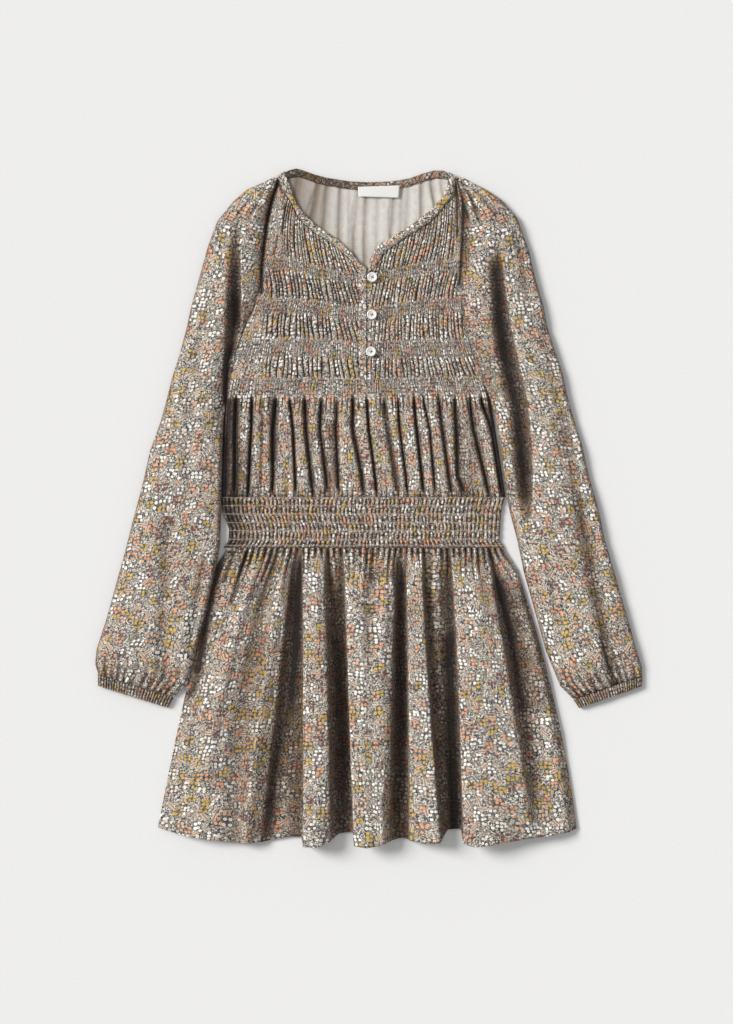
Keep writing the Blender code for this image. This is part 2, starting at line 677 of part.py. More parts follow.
def build_buttons(finish):
    drill = bmesh.new()
    for y in BUTTON_Y:
        for turn in range(4):
            angle = math.pi / 4 + turn * math.pi / 2
            hole_x = BUTTON_X + HOLE_SPACING / math.sqrt(2) * math.cos(angle)
            hole_y = y + HOLE_SPACING / math.sqrt(2) * math.sin(angle)
            low, long = BUTTON_Z - DRILL_OVERSHOOT, BUTTON_THICK + 2 * DRILL_OVERSHOOT
            disc(drill, HOLE_RADIUS, long, hole_x, hole_y, low, HOLE_SIDES)
    cutter = node("button_drill", drill, finish)
    cutter.hide_render = True
    cutter.display_type = "WIRE"
    for number, y in enumerate(BUTTON_Y, start=1):
        bm = bmesh.new()
        disc(bm, BUTTON_DIAMETER / 2, BUTTON_THICK, BUTTON_X, y, BUTTON_Z, BUTTON_SIDES)
        half_way = BUTTON_Z + BUTTON_THICK / 2
        top = [edge for edge in bm.edges if all(vert.co.z > half_way for vert in edge.verts)]
        bmesh.ops.bevel(
            bm, geom=top, offset=BUTTON_EDGE, segments=2, profile=0.5, affect="EDGES", material=-1
        )
        button = node(f"button_{number}", bm, finish)
        holes = button.modifiers.new("holes", "BOOLEAN")
        holes.object = cutter
        holes.operation = "DIFFERENCE"
        holes.solver = "EXACT"


def build_loops(finish):
    for number, button_y in enumerate(BUTTON_Y, start=1):
        curve = bpy.data.curves.new(f"loop_{number}", "CURVE")
        curve.dimensions = "3D"
        curve.bevel_depth = LOOP_RADIUS * MM
        curve.bevel_resolution = 1
        curve.use_fill_caps = True
        spline = curve.splines.new("POLY")
        spline.points.add(LOOP_TURNS)
        for index, point in enumerate(spline.points):
            angle = math.pi / 2 - math.pi * index / LOOP_TURNS
            x = LOOP_START_X + LOOP_REACH * math.cos(angle)
            y = button_y + LOOP_HALF_HEIGHT * math.sin(angle)
            point.co = (x * MM, y * MM, LOOP_Z * MM, 1.0)
        curve.materials.append(finish)
        made = bpy.data.objects.new(f"loop_{number}", curve)
        bpy.context.collection.objects.link(made)


def build_label(finish):
    bm = bmesh.new()
    corners = [bm.verts.new((x, y, LABEL_Z)) for x, y in LABEL_CORNERS]
    face = bm.faces.new(corners)
    grown = bmesh.ops.extrude_face_region(bm, geom=[face])["geom"]
    raised = [part for part in grown if isinstance(part, bmesh.types.BMVert)]
    bmesh.ops.translate(bm, verts=raised, vec=Vector((0, 0, LABEL_THICK)))
    node("label", bm, finish)


def centre_dress():
    """Move every piece so that the origin is under the middle of the dress."""
    pieces = [piece for piece in bpy.data.objects if piece.type == "MESH" and not piece.hide_render]
    corners = np.array([vert.co[:] for piece in pieces for vert in piece.data.vertices])
    middle = (corners.min(axis=0) + corners.max(axis=0)) / 2
    shift = Matrix.Translation((-middle[0], -middle[1], 0.0))
    for piece in bpy.data.objects:
        piece.data.transform(shift)


def build_dress():
    for old in list(bpy.data.objects):
        bpy.data.objects.remove(old, do_unlink=True)
    print_cloth = material("printed cotton", (0.30, 0.25, 0.21), 0.85)
    wrong_side = material("printed cotton, wrong side", (0.55, 0.53, 0.49), 0.85)
    tape = material("bias tape of the print", (0.28, 0.23, 0.20), 0.85)
    pearl = material("pearl button", (0.80, 0.78, 0.74), 0.25)
    cord = material("rouleau loop", (0.28, 0.23, 0.20), 0.85)
    satin = material("woven satin label", (0.80, 0.79, 0.76), 0.6)
    build_bodice_front(print_cloth)
    build_bodice_back(wrong_side)
    build_waistbands(print_cloth)
    build_skirt(print_cloth)
    for side in ("left", "right"):
        build_sleeve(side, print_cloth)
        build_cuff(side, print_cloth)
    build_binding(tape)
    build_buttons(pearl)
    build_loops(cord)
    build_label(satin)
    centre_dress()


build_dress()
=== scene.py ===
# %% [markdown]
# # A ruched dress, laid flat
#
# A girl's cotton dress lies on a pale table and is seen from straight above. Its yoke is
# gathered in tiers between smocked bands, its waist is shirred, its skirt hangs in deep soft
# folds and its sleeves close in elastic cuffs. We make each sewn piece as a sheet of cloth: a
# flat grid that is pulled into folds. The print is drawn in the flat cloth's own
# millimetres, so it squeezes up wherever the cloth is gathered, as it does on a real dress.

# %% Start from the solid parts
import math

import bmesh
import bpy
import numpy as np
from mathutils import Matrix, Vector


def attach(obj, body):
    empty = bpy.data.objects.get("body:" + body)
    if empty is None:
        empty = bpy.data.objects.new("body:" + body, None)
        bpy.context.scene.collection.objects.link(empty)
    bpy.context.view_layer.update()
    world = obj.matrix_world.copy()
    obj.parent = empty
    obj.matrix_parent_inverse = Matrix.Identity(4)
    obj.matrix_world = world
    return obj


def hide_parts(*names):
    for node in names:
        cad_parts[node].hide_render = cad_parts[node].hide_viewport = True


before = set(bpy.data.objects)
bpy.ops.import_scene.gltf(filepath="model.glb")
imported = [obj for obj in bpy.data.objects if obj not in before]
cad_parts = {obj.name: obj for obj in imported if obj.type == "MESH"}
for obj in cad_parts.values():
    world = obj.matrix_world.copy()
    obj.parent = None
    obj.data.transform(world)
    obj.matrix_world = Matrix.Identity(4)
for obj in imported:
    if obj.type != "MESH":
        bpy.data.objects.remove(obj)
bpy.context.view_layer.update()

# %% [markdown]
# ## Measuring
#
# The photograph shows the dress square on, so a place on the dress is a pixel of the
# photograph times one scale. A blouse button of 10.5 mm is 10 pixels wide, so a pixel is
# 1.05 mm. We note folds in pixels, where they are easy to check, and turn them into
# millimetres here. x counts from the centre front and y up from the hem.

# %% Scale and places
MM = 0.001
PIXEL = 1.05
CENTRE_FRONT = 367
HEM_LINE = 848
ORIGIN = (1.85, 357.75)  # millimetres: the middle of the dress, where the frame's origin is


def across(pixels):
    return (np.asarray(pixels, float) - CENTRE_FRONT) * PIXEL


def up(pixels):
    return (HEM_LINE - np.asarray(pixels, float)) * PIXEL


def table_at(places, table):
    """Read a two-column table, given in pixels as x, y, at places in millimetres."""
    rows = sorted(table)
    return np.interp(places, across([row[0] for row in rows]), up([row[1] for row in rows]))


def ease(value):
    value = np.clip(value, 0.0, 1.0)
    return value * value * (3.0 - 2.0 * value)


def scatter(first, second=0.0):
    """A fixed scatter between 0 and 1, so that no two gathers are alike."""
    return 0.5 + 0.5 * np.sin(12.9 * first + 4.1 * second + 1.7 * np.sin(2.3 * first + second))


def ripple(x, y, size):
    """Soft uneven waves of about this size in millimetres, between -1 and 1."""
    a, b = x / size, y / size
    waves = np.sin(2.1 * a + 1.3 * b + 1.1 * np.sin(1.7 * b)) + np.sin(3.3 * b - 1.9 * a + 0.7)
    return (waves + np.sin(4.7 * a + 0.9 * np.sin(3.1 * b) + 2.0)) / 3.0


DRESS_ROWS = 681  # pixel rows from the neck to the hem
print("one pixel is", PIXEL, "mm; the dress is", round(DRESS_ROWS * PIXEL), "mm long")

# %% [markdown]
# ## A piece of cloth
#
# Every panel starts as Blender's flat grid. We work out where each crossing of the grid goes
# and where it lies in the uncut cloth, then move the crossings there. The second pair of
# numbers becomes the UV map, in metres of flat cloth. A Solidify modifier gives the cloth its
# real thickness and puts the pale wrong side of the print on the inside.

# %% Cloth from a grid
COTTON = 0.5  # thickness in millimetres
NO_CLOTH = -99.0  # a height lower than any cloth


def painted_fold_shade(x, z, reach):
    """How much of the sky each place loses to the folds left and right of it, from 0 to 1. It is painted
    into the cloth's colour as shade.
    """
    total = np.zeros_like(z)
    for way in (-1, 1):
        highest = np.zeros_like(z)
        for step in range(1, reach + 1):
            there_x, there_z = np.roll(x, way * step, axis=1), np.roll(z, way * step, axis=1)
            if way > 0:
                there_z[:, :step] = NO_CLOTH
            else:
                there_z[:, -step:] = NO_CLOTH
            rise, run = there_z - z, np.abs(there_x - x) + 0.3
            highest = np.maximum(highest, rise / np.hypot(rise, run))
        total += highest
    return total / 2


def cloth(name, shape, finishes, thickness=COTTON, missing=None, reach=16, shade=0.0):
    """Shape a grid. shape holds x, y, z and the flat cloth's two places, in rows of columns.

    reach is how many columns away a fold still hides the sky; shade adds painted shade to what they hide,
    and the sum is painted into the colour as shade.
    """
    rows, columns = shape.shape[0] - 1, shape.shape[1] - 1
    bm = bmesh.new()
    bmesh.ops.create_grid(bm, x_segments=columns, y_segments=rows, size=0.5)
    if missing:
        column, first_row = missing
        gap = [
            face
            for face in bm.faces
            if int((face.calc_center_median().x + 0.5) * columns) == column
            and int((face.calc_center_median().y + 0.5) * rows) >= first_row
        ]
        bmesh.ops.delete(bm, geom=gap, context="FACES")
    mesh = bpy.data.meshes.new(name)
    bm.to_mesh(mesh)
    bm.free()
    spots = np.empty(3 * len(mesh.vertices), np.float32)
    mesh.vertices.foreach_get("co", spots)
    spots = spots.reshape(-1, 3)
    column = np.rint((spots[:, 0] + 0.5) * columns).astype(int)
    row = np.rint((spots[:, 1] + 0.5) * rows).astype(int)
    placed = shape[row, column]
    spots[:, 0] = (placed[:, 0] - ORIGIN[0]) * MM
    spots[:, 1] = (placed[:, 1] - ORIGIN[1]) * MM
    spots[:, 2] = placed[:, 2] * MM
    mesh.vertices.foreach_set("co", spots.ravel())
    corners = np.empty(len(mesh.loops), np.int32)
    mesh.loops.foreach_get("vertex_index", corners)
    flat = mesh.uv_layers.new(name="flat cloth")
    flat.data.foreach_set("uv", (placed[corners, 3:5] * MM).astype(np.float32).ravel())
    mesh.polygons.foreach_set("use_smooth", [True] * len(mesh.polygons))
    # Painted shade, kept as an attribute: how much sky the folds hide, plus the painted shade lines
    deep = mesh.attributes.new("painted_fold_shade", "FLOAT", "POINT")
    painted_shade_amount = painted_fold_shade(shape[:, :, 0], shape[:, :, 2], reach) + shade
    deep.data.foreach_set("value", painted_shade_amount[row, column].astype(np.float32))
    for finish in finishes:
        mesh.materials.append(finish)
    made = bpy.data.objects.new(name, mesh)
    bpy.context.collection.objects.link(made)
    wall = made.modifiers.new("thickness", "SOLIDIFY")
    wall.thickness = thickness * MM
    wall.offset = -1
    wall.material_offset = len(finishes) - 1
    wall.material_offset_rim = 0
    mesh.update()
    print(name, len(mesh.polygons), "faces")
    return made


def painted_shade_lines(lines, x, y):
    """Painted shade along lines of pressed cloth, fold valleys and shadows cast by neighbouring pieces.
    Each line is how dark, half its width and its route, in pixels. Below 0 it is a painted highlight, where
    cloth catches light beside a fold."""
    px, row = x / PIXEL + CENTRE_FRONT, HEM_LINE - y / PIXEL
    total = np.zeros_like(px)
    for dark, half_width, route in lines:
        near = np.full_like(px, np.inf)
        for (from_x, from_y), (to_x, to_y) in zip(route, route[1:]):
            span_x, span_y = to_x - from_x, to_y - from_y
            share = (px - from_x) * span_x + (row - from_y) * span_y
            share = np.clip(share / (span_x**2 + span_y**2), 0, 1)
            away_x, away_y = px - from_x - span_x * share, row - from_y - span_y * share
            near = np.minimum(near, np.hypot(away_x, away_y))
        total += dark * np.exp(-((near / half_width) ** 2))
    return total


def lengths(x, y, z, axis):
    """Running length along the rows or columns of a shaped grid, in millimetres."""
    steps = np.sqrt(sum(np.diff(part, axis=axis) ** 2 for part in (x, y, z)))
    start = np.zeros_like(np.take(steps, [0], axis=axis))
    return np.concatenate((start, np.cumsum(steps, axis=axis)), axis=axis)


# %% [markdown]
# ## The print
#
# The cotton is printed with a ditsy floral: sprigs of tiny round blossoms in cream, peach,
# mustard and maroon, a few pale leaves, and between them a ground of short grey and
# blue-black strokes. Small Voronoi cells make the blossoms. Each one looks up the sprig it
# belongs to in a second, coarser Voronoi texture, and takes its colour from it. Colours
# are sRGB values, made linear by one function.

# %% Node helpers


def linear(code):
    """An sRGB hex colour as linear RGBA."""
    channels = [int(code[at : at + 2], 16) / 255 for at in (1, 3, 5)]
    return (*[c / 12.92 if c <= 0.04045 else ((c + 0.055) / 1.055) ** 2.4 for c in channels], 1.0)


def add(tree, kind, inputs=(), **settings):
    """Add a node with its settings; inputs are values or other nodes' sockets."""
    made = tree.nodes.new(kind)
    for name, value in settings.items():
        setattr(made, name, value)
    for name, value in dict(inputs).items():
        if isinstance(value, bpy.types.NodeSocket):
            tree.links.new(value, made.inputs[name])
        else:
            made.inputs[name].default_value = value
    return made


def ramp(tree, factor, stops, interpolation="LINEAR"):
    """A colour ramp from stops of place and sRGB colour."""
    made = add(tree, "ShaderNodeValToRGB", {"Fac": factor})
    made.color_ramp.interpolation = interpolation
    while len(made.color_ramp.elements) < len(stops):
        made.color_ramp.elements.new(0.5)
    for element, (place, colour) in zip(made.color_ramp.elements, stops):
        element.position = place
        element.color = linear(colour)
    return made.outputs["Color"]


def calc(tree, operation, first, second=0.0, third=0.0):
    """One step of arithmetic."""
    inputs = {0: first, 1: second, 2: third}
    return add(tree, "ShaderNodeMath", inputs, operation=operation).outputs[0]


def vector(tree, operation, *values):
    """One step of arithmetic on vectors. LENGTH gives a number, the others a vector."""
    made = add(tree, "ShaderNodeVectorMath", enumerate(values), operation=operation)
    return made.outputs["Value" if operation == "LENGTH" else "Vector"]


def ease_in(tree, value, start, end):
    """0 below the start and 1 beyond the end, smooth between them."""
    inputs = {0: value, 1: start, 2: end}
    return add(tree, "ShaderNodeMapRange", inputs, interpolation_type="SMOOTHSTEP").outputs[0]


def over(tree, mask, below, above, blend="MIX"):
    """Lay one colour over another where the mask is 1."""
    inputs = {0: mask, 6: below, 7: above}
    return add(tree, "ShaderNodeMix", inputs, data_type="RGBA", blend_type=blend).outputs[2]


def flat_place(tree):
    """The place in the flat cloth, in metres."""
    return add(tree, "ShaderNodeUVMap", uv_map="flat cloth").outputs["UV"]


def object_place(tree):
    return add(tree, "ShaderNodeTexCoord").outputs["Object"]


def voronoi(tree, place, size, randomness=1.0):
    """Cells of about this size in millimetres, in the flat cloth."""
    inputs = {"Vector": place, "Scale": 1000 / size, "Randomness": randomness}
    return add(tree, "ShaderNodeTexVoronoi", inputs, voronoi_dimensions="2D").outputs


def noise(tree, place, scale, detail, distortion=0.0):
    inputs = {"Vector": place, "Scale": scale, "Detail": detail, "Distortion": distortion}
    return add(tree, "ShaderNodeTexNoise", inputs).outputs


def wave(tree, place, scale, direction):
    inputs = {"Vector": place, "Scale": scale}
    return add(tree, "ShaderNodeTexWave", inputs, bands_direction=direction).outputs["Fac"]


def split_colour(tree, colour):
    """The three parts of a colour. A cell's colour is random, so they are random numbers."""
    return add(tree, "ShaderNodeSeparateColor", {"Color": colour}).outputs


def raise_bump(tree, shader, height, strength, distance):
    """Bump from a height; the distance is in metres."""
    inputs = {"Height": height, "Strength": strength, "Distance": distance}
    bump = add(tree, "ShaderNodeBump", inputs)
    tree.links.new(bump.outputs["Normal"], shader.inputs["Normal"])


def new_material(name, roughness):
    made = bpy.data.materials.new(name)
    made.use_nodes = True
    shader = made.node_tree.nodes["Principled BSDF"]
    shader.inputs["Roughness"].default_value = roughness
    return made, made.node_tree, shader


def weave(tree, shader, place, strength):
    """Plain weave as bump, drawn at 0.8 mm to the thread, coarser than real lawn cotton."""
    crossing = calc(tree, "ADD", wave(tree, place, 200.0, "X"), wave(tree, place, 200.0, "Y"))
    slub = noise(tree, place, 300.0, 3.0)["Fac"]
    raise_bump(tree, shader, calc(tree, "MULTIPLY_ADD", slub, 1.5, crossing), strength, 0.0003)


# %% The printed cotton
BLOSSOM = 4.2  # millimetres from one blossom to the next
SPRIG = 13.0  # millimetres from one sprig to the next
LEAF = 24.0  # millimetres from one leaf to the next
STROKE = 1.0  # millimetres across a stroke of the ground
GROUND = (
    (0.0, "#38393c"), (0.19, "#787a7c"), (0.39, "#afaba1"), (0.61, "#efe9da"), (0.78, "#c3ac93"),
    (0.92, "#4c4b4e"),
)
SPRIGS = (
    (0.0, "#fffcf4"),
    (0.27, "#efac84"),
    (0.49, "#d9b35b"),
    (0.68, "#7c4a42"),
    (0.80, "#f8f1e3"),
    (0.91, "#e8c2a6"),
)


BETWEEN_BLOSSOMS = ((0.0, "#cbcbcb"), (0.68, "#606060"), (0.80, "#cbcbcb"))
# Painted shade: what the cloth's colour is multiplied by, from open cloth to deep in a fold
PAINTED_SHADE_COLOURS = ((0.08, "#ffffff"), (0.42, "#aa9d92"), (0.9, "#392e26"))


def paint_shade_in_folds(tree, colour):
    """Painted shade: deep in a fold the colour is darkened and browned, as the cloth there only gets light
    that other cloth has browned.
    """
    painted_shade_factor = add(tree, "ShaderNodeAttribute", attribute_name="painted_fold_shade").outputs["Fac"]
    return over(tree, 1.0, colour, ramp(tree, painted_shade_factor, PAINTED_SHADE_COLOURS), blend="MULTIPLY")


def ground_colour(tree, place):
    """Short strokes of grey, blue-black and cream, with a blush here and there."""
    shake = noise(tree, place, 160.0, 1.0)["Color"]
    shaken = vector(tree, "MULTIPLY_ADD", shake, (0.0016, 0.0016, 0.0), place)
    tone = split_colour(tree, voronoi(tree, shaken, STROKE)["Color"])[0]
    cloud = noise(tree, place, 70.0, 1.0)["Fac"]
    blush = calc(tree, "MULTIPLY", ease_in(tree, cloud, 0.52, 0.64), 0.28)
    return over(tree, blush, ramp(tree, tone, GROUND, "CONSTANT"), linear("#cdb7a4"))


def with_blossoms(tree, place, colour):
    """Round blossoms in sprigs, on rows that bend."""
    bend = noise(tree, place, 40.0, 0.0)["Color"]
    bent = vector(tree, "MULTIPLY_ADD", bend, (0.005, 0.005, 0.0), place)
    blossom = voronoi(tree, bent, BLOSSOM, 0.55)
    sprig = voronoi(tree, blossom["Position"], SPRIG, 0.9)
    kind, one = split_colour(tree, sprig["Color"]), split_colour(tree, blossom["Color"])
    spread = calc(tree, "MULTIPLY_ADD", kind[1], 0.14, 0.34)
    in_sprig = calc(tree, "LESS_THAN", sprig["Distance"], spread)
    # The ground is darker between blossoms, but less so between the dark ones
    depth = ramp(tree, kind[0], BETWEEN_BLOSSOMS, "CONSTANT")
    colour = over(tree, calc(tree, "MULTIPLY", in_sprig, depth), colour, linear("#343236"))
    opened = calc(tree, "MULTIPLY_ADD", one[1], 0.06, 0.32)
    in_blossom = calc(tree, "LESS_THAN", blossom["Distance"], opened)
    stray = calc(tree, "GREATER_THAN", one[2], 0.93)
    shown = calc(tree, "MULTIPLY", in_blossom, calc(tree, "MAXIMUM", in_sprig, stray))
    heart = calc(tree, "LESS_THAN", blossom["Distance"], 0.1)
    petals = ramp(tree, kind[0], SPRIGS, "CONSTANT")
    petals = over(tree, calc(tree, "MULTIPLY", heart, 0.55), petals, linear("#8a6a55"))
    value = calc(tree, "MULTIPLY_ADD", one[0], 0.3, 0.85)
    shade = add(tree, "ShaderNodeHueSaturation", {"Color": petals, "Value": value}).outputs[0]
    return over(tree, shown, colour, shade)


def with_leaves(tree, place, colour):
    """Pale striped leaves, each turned its own way."""
    leaf = voronoi(tree, place, LEAF)
    from_leaf = vector(tree, "SUBTRACT", place, leaf["Position"])
    angle = calc(tree, "MULTIPLY", split_colour(tree, leaf["Color"])[0], 6.28)
    inputs = {"Vector": from_leaf, "Angle": angle}
    turned = add(tree, "ShaderNodeVectorRotate", inputs, rotation_type="Z_AXIS").outputs[0]
    reach = vector(tree, "LENGTH", vector(tree, "MULTIPLY", turned, (235.0, 500.0, 0.0)))
    stripes = ramp(tree, wave(tree, turned, 140.0, "Y"), ((0.25, "#8f7262"), (0.5, "#dcc0ab")))
    return over(tree, calc(tree, "LESS_THAN", reach, 1.0), colour, stripes)


def printed_cotton():
    made, tree, shader = new_material("printed cotton", 0.86)
    place = flat_place(tree)
    colour = with_leaves(tree, place, with_blossoms(tree, place, ground_colour(tree, place)))
    # Painted shade in the folds darkens the print's colour
    tree.links.new(paint_shade_in_folds(tree, colour), shader.inputs["Base Color"])
    shader.inputs["Sheen Weight"].default_value = 0.08
    shader.inputs["Sheen Roughness"].default_value = 0.6
    weave(tree, shader, place, 0.5)
    return made


# %% [markdown]
# The wrong side is the same cotton seen from behind: nearly white, with the print only
# ghosting through. The thread is a pinkish-grey cotton; the label is bare white satin; the
# buttons are shell or a good plastic copy of it, with a soft clouded gloss.

# %% Other finishes


def wrong_side_cotton():
    made, tree, shader = new_material("cotton, wrong side", 0.88)
    place = flat_place(tree)
    tone = split_colour(tree, voronoi(tree, place, BLOSSOM, 0.8)["Color"])[0]
    colour = ramp(tree, tone, ((0.0, "#cfcbc3"), (0.4, "#d5d2cb"), (1.0, "#dad8d2")))
    # Painted shade in the folds darkens the wrong side's colour too
    tree.links.new(paint_shade_in_folds(tree, colour), shader.inputs["Base Color"])
    weave(tree, shader, place, 0.35)
    return made


def sewing_thread(name, colour):
    made, tree, shader = new_material(name, 0.7)
    shader.inputs["Base Color"].default_value = linear(colour)
    raise_bump(tree, shader, wave(tree, object_place(tree), 900.0, "DIAGONAL"), 0.5, 0.0002)
    return made


def pearl_button():
    made, tree, shader = new_material("pearl button", 0.22)
    cloud = noise(tree, object_place(tree), 220.0, 2.0, 1.4)["Fac"]
    colour = ramp(tree, cloud, ((0.3, "#e6e0d8"), (0.55, "#f6f3ee"), (0.75, "#dfe2e2")))
    tree.links.new(colour, shader.inputs["Base Color"])
    tree.links.new(calc(tree, "MULTIPLY_ADD", cloud, 0.15, 0.15), shader.inputs["Roughness"])
    shader.inputs["Coat Weight"].default_value = 0.3
    raise_bump(tree, shader, cloud, 0.1, 0.0003)
    return made


def satin():
    made, tree, shader = new_material("satin label", 0.42)
    place = flat_place(tree)
    colour = ramp(tree, wave(tree, place, 330.0, "Y"), ((0.0, "#e3e1dd"), (1.0, "#f2f1ee")))
    tree.links.new(colour, shader.inputs["Base Color"])
    weave(tree, shader, place, 0.2)
    return made


print_cotton = printed_cotton()
wrong_side = wrong_side_cotton()
cotton_pair = (print_cotton, wrong_side)
waist_thread = sewing_thread("waist thread", "#b3a29b")
smocking_thread = sewing_thread("smocking thread", "#868789")
button_thread = sewing_thread("button thread", "#8c7480")
pearl = pearl_button()
label_satin = satin()

# %% [markdown]
# ## The skirt
#
# The skirt is a straight panel, gathered into the waist. Laid down, it falls into long folds:
# each has a crisp edge on its left, where the cloth turns under, and slides softly into the
# dark valley on its right. We follow every crest and valley with its place at the waist, at
# middle height and at the hem, and its height off the table. Where two neighbours have almost
# the same place, the cloth stands upright between them.

# %% Skirt folds
WAIST_SEAM = 548  # pixel rows
SKIRT_MIDDLE = 640
SKIRT_LOW = 836
SKIRT_FOLDS = (
    # pixels at the waist, middle and hem; millimetres high at the waist, middle and hem
    (219, 197, 157.5, 2.8, 3.0, 3.0),
    (240, 210, 171, 2.8, 5.0, 6.5),
    (252, 221, 184, 4.0, 9.0, 10.0),
    (262, 233, 196, 9.5, 13.5, 13.0),
    (270, 243, 212, 6.0, 10.0, 11.5),
    (278, 254, 234, 3.0, 6.5, 9.0),
    (288, 271, 244, 9.0, 15.0, 14.0),
    (292, 282, 258, 7.0, 12.0, 10.0),
    (297, 288, 268, 2.8, 3.0, 3.5),
    (301, 303, 302.5, 2.8, 2.8, 3.0),
    (302, 303, 303, 10.0, 22.0, 22.0),
    (314, 316, 316, 11.0, 23.0, 23.0),
    (321, 325, 328, 9.0, 20.0, 19.0),
    (329, 333, 337, 2.8, 2.8, 3.0),
    (335, 339, 344, 6.5, 2.9, 3.0),
    (342, 346, 352.5, 2.8, 2.8, 3.0),
    (344, 346.5, 353.5, 9.0, 21.0, 21.0),
    (361, 361, 367, 10.0, 22.0, 22.0),
    (373, 369, 376, 4.0, 18.0, 20.0),
    (388, 382, 383, 9.0, 20.5, 20.5),
    (395, 392, 388, 7.0, 16.5, 16.5),
    (399, 397, 394, 3.0, 3.2, 5.0),
    (405, 406.5, 408, 3.0, 3.0, 4.5),
    (406, 407.5, 409.5, 10.0, 19.0, 17.0),
    (420, 425, 440, 10.0, 19.0, 21.0),
    (424, 429, 446, 3.5, 5.0, 3.0),
    (436, 437, 448, 8.5, 7.5, 3.0),
    (443, 445, 451, 2.8, 2.8, 2.8),
    (450, 455.5, 462, 2.8, 2.8, 2.8),
    (451, 455.5, 462.5, 10.0, 22.5, 22.0),
    (470, 478, 485, 11.0, 23.0, 22.0),
    (484, 501, 528, 8.0, 19.0, 14.5),
    (491, 509, 541, 3.2, 5.0, 12.0),
    (499, 520, 550, 6.5, 7.0, 12.5),
    (506, 533, 566, 4.0, 8.0, 10.0),
    (510, 539, 577, 3.0, 3.0, 3.0),
)
SKIRT_HEM = (
    (157, 828), (168, 831), (186, 836), (210, 840), (246, 843), (264, 842), (276, 839), (288, 837),
    (301, 837), (303, 846), (318, 846), (330, 841), (339, 834), (352.5, 832), (354, 845), (367, 847),
    (378, 845), (390, 841), (402, 838), (414, 841), (426, 843), (440, 842), (448, 830), (461, 829),
    (463, 843), (474, 846), (486, 845), (516, 840), (546, 836), (570, 832), (577, 829),
)
# Painted shade: how dark, half width and route in pixels, along fold valleys, waist gathers and the
# sleeves' shadows on the skirt's edges
SKIRT_PAINTED_SHADE = (
    (0.9, 4.0, ((222, 553), (213, 590), (205, 630), (198, 668))),
    (0.55, 3.5, ((197, 670), (193, 690), (182, 700), (172, 704))),
    (0.6, 2.2, ((246, 553), (239, 575), (231, 602))), (0.4, 2.2, ((233, 552), (224, 580))),
    (0.42, 6.5, ((298, 565), (297, 590), (295, 640), (290, 700), (281, 740), (275, 780), (268, 835))),
    (0.14, 14.0, ((268, 640), (262, 700), (252, 835))),
    (0.3, 1.6, ((328, 553), (330, 585))), (0.3, 1.4, ((372, 553), (371, 578))),
    (0.2, 2.0, ((401, 553), (403, 590))), (0.25, 1.5, ((429, 553), (432, 580))),
    (0.2, 3.5, ((445, 553), (447, 600), (450, 640))), (0.4, 6.0, ((449, 640), (451, 700), (456, 835))),
    (0.4, 2.0, ((491, 553), (495, 572), (501, 600))),
    (0.36, 7.0, ((500, 585), (508, 620), (515, 650), (519, 685), (522, 705))),
    (0.3, 11.0, ((514, 590), (524, 630), (535, 670), (540, 700))),
)
SKIRT_LOWEST = 2.8  # the outer face of cloth that lies on the back panel
SKIRT_GATHERS = 46
SKIRT_GATHER_HEIGHT = 4.2  # at the waist seam
SKIRT_COLUMNS = 396
SKIRT_ROWS = 120


def through(row, waist, middle, hem):
    """A smooth line through its values at the waist seam, the middle and the hem."""
    a, b, c = WAIST_SEAM, SKIRT_MIDDLE, SKIRT_LOW
    return (
        waist * (row - b) * (row - c) / ((a - b) * (a - c))
        + middle * (row - a) * (row - c) / ((b - a) * (b - c))
        + hem * (row - a) * (row - b) / ((c - a) * (c - b))
    )


def fold_line(row, step):
    """x in pixels and height in millimetres along one row of the skirt; step counts folds."""
    table = np.array(SKIRT_FOLDS)
    first = np.clip(step.astype(int), 0, len(table) - 2)
    share = step - first
    places = through(row, table[:, 0], table[:, 1], table[:, 2])
    heights = through(row, table[:, 3], table[:, 4], table[:, 5])
    x = places[first] + (places[first + 1] - places[first]) * share
    turn = (1 - np.cos(np.pi * share)) / 2
    z = heights[first] + (heights[first + 1] - heights[first]) * turn
    return x, np.maximum(z, SKIRT_LOWEST)


def drawn_in(px, row):
    """Just below the waist the sides curve in to meet the narrower band."""
    near = 7 * (1 - ease((row - WAIST_SEAM) / 24))
    return px - near * np.clip((px - 478) / 32, 0, 1) + near * np.clip((250 - px) / 31, 0, 1)


def rounded(values, times):
    """Round off the corners along each row."""
    for _ in range(times):
        inner = (values[:, :-2] + 2 * values[:, 1:-1] + values[:, 2:]) / 4
        values = np.concatenate((values[:, :1], inner, values[:, -1:]), axis=1)
    return values


def skirt_columns(columns):
    """Spread the columns evenly along the cloth, halfway down the skirt."""
    fine = np.linspace(0, len(SKIRT_FOLDS) - 1, 3000)
    x, z = fold_line(730.0, fine)
    run = np.concatenate(([0.0], np.cumsum(np.hypot(np.diff(x) * PIXEL, np.diff(z)))))
    return np.interp(np.linspace(0, run[-1], columns + 1), run, fine)


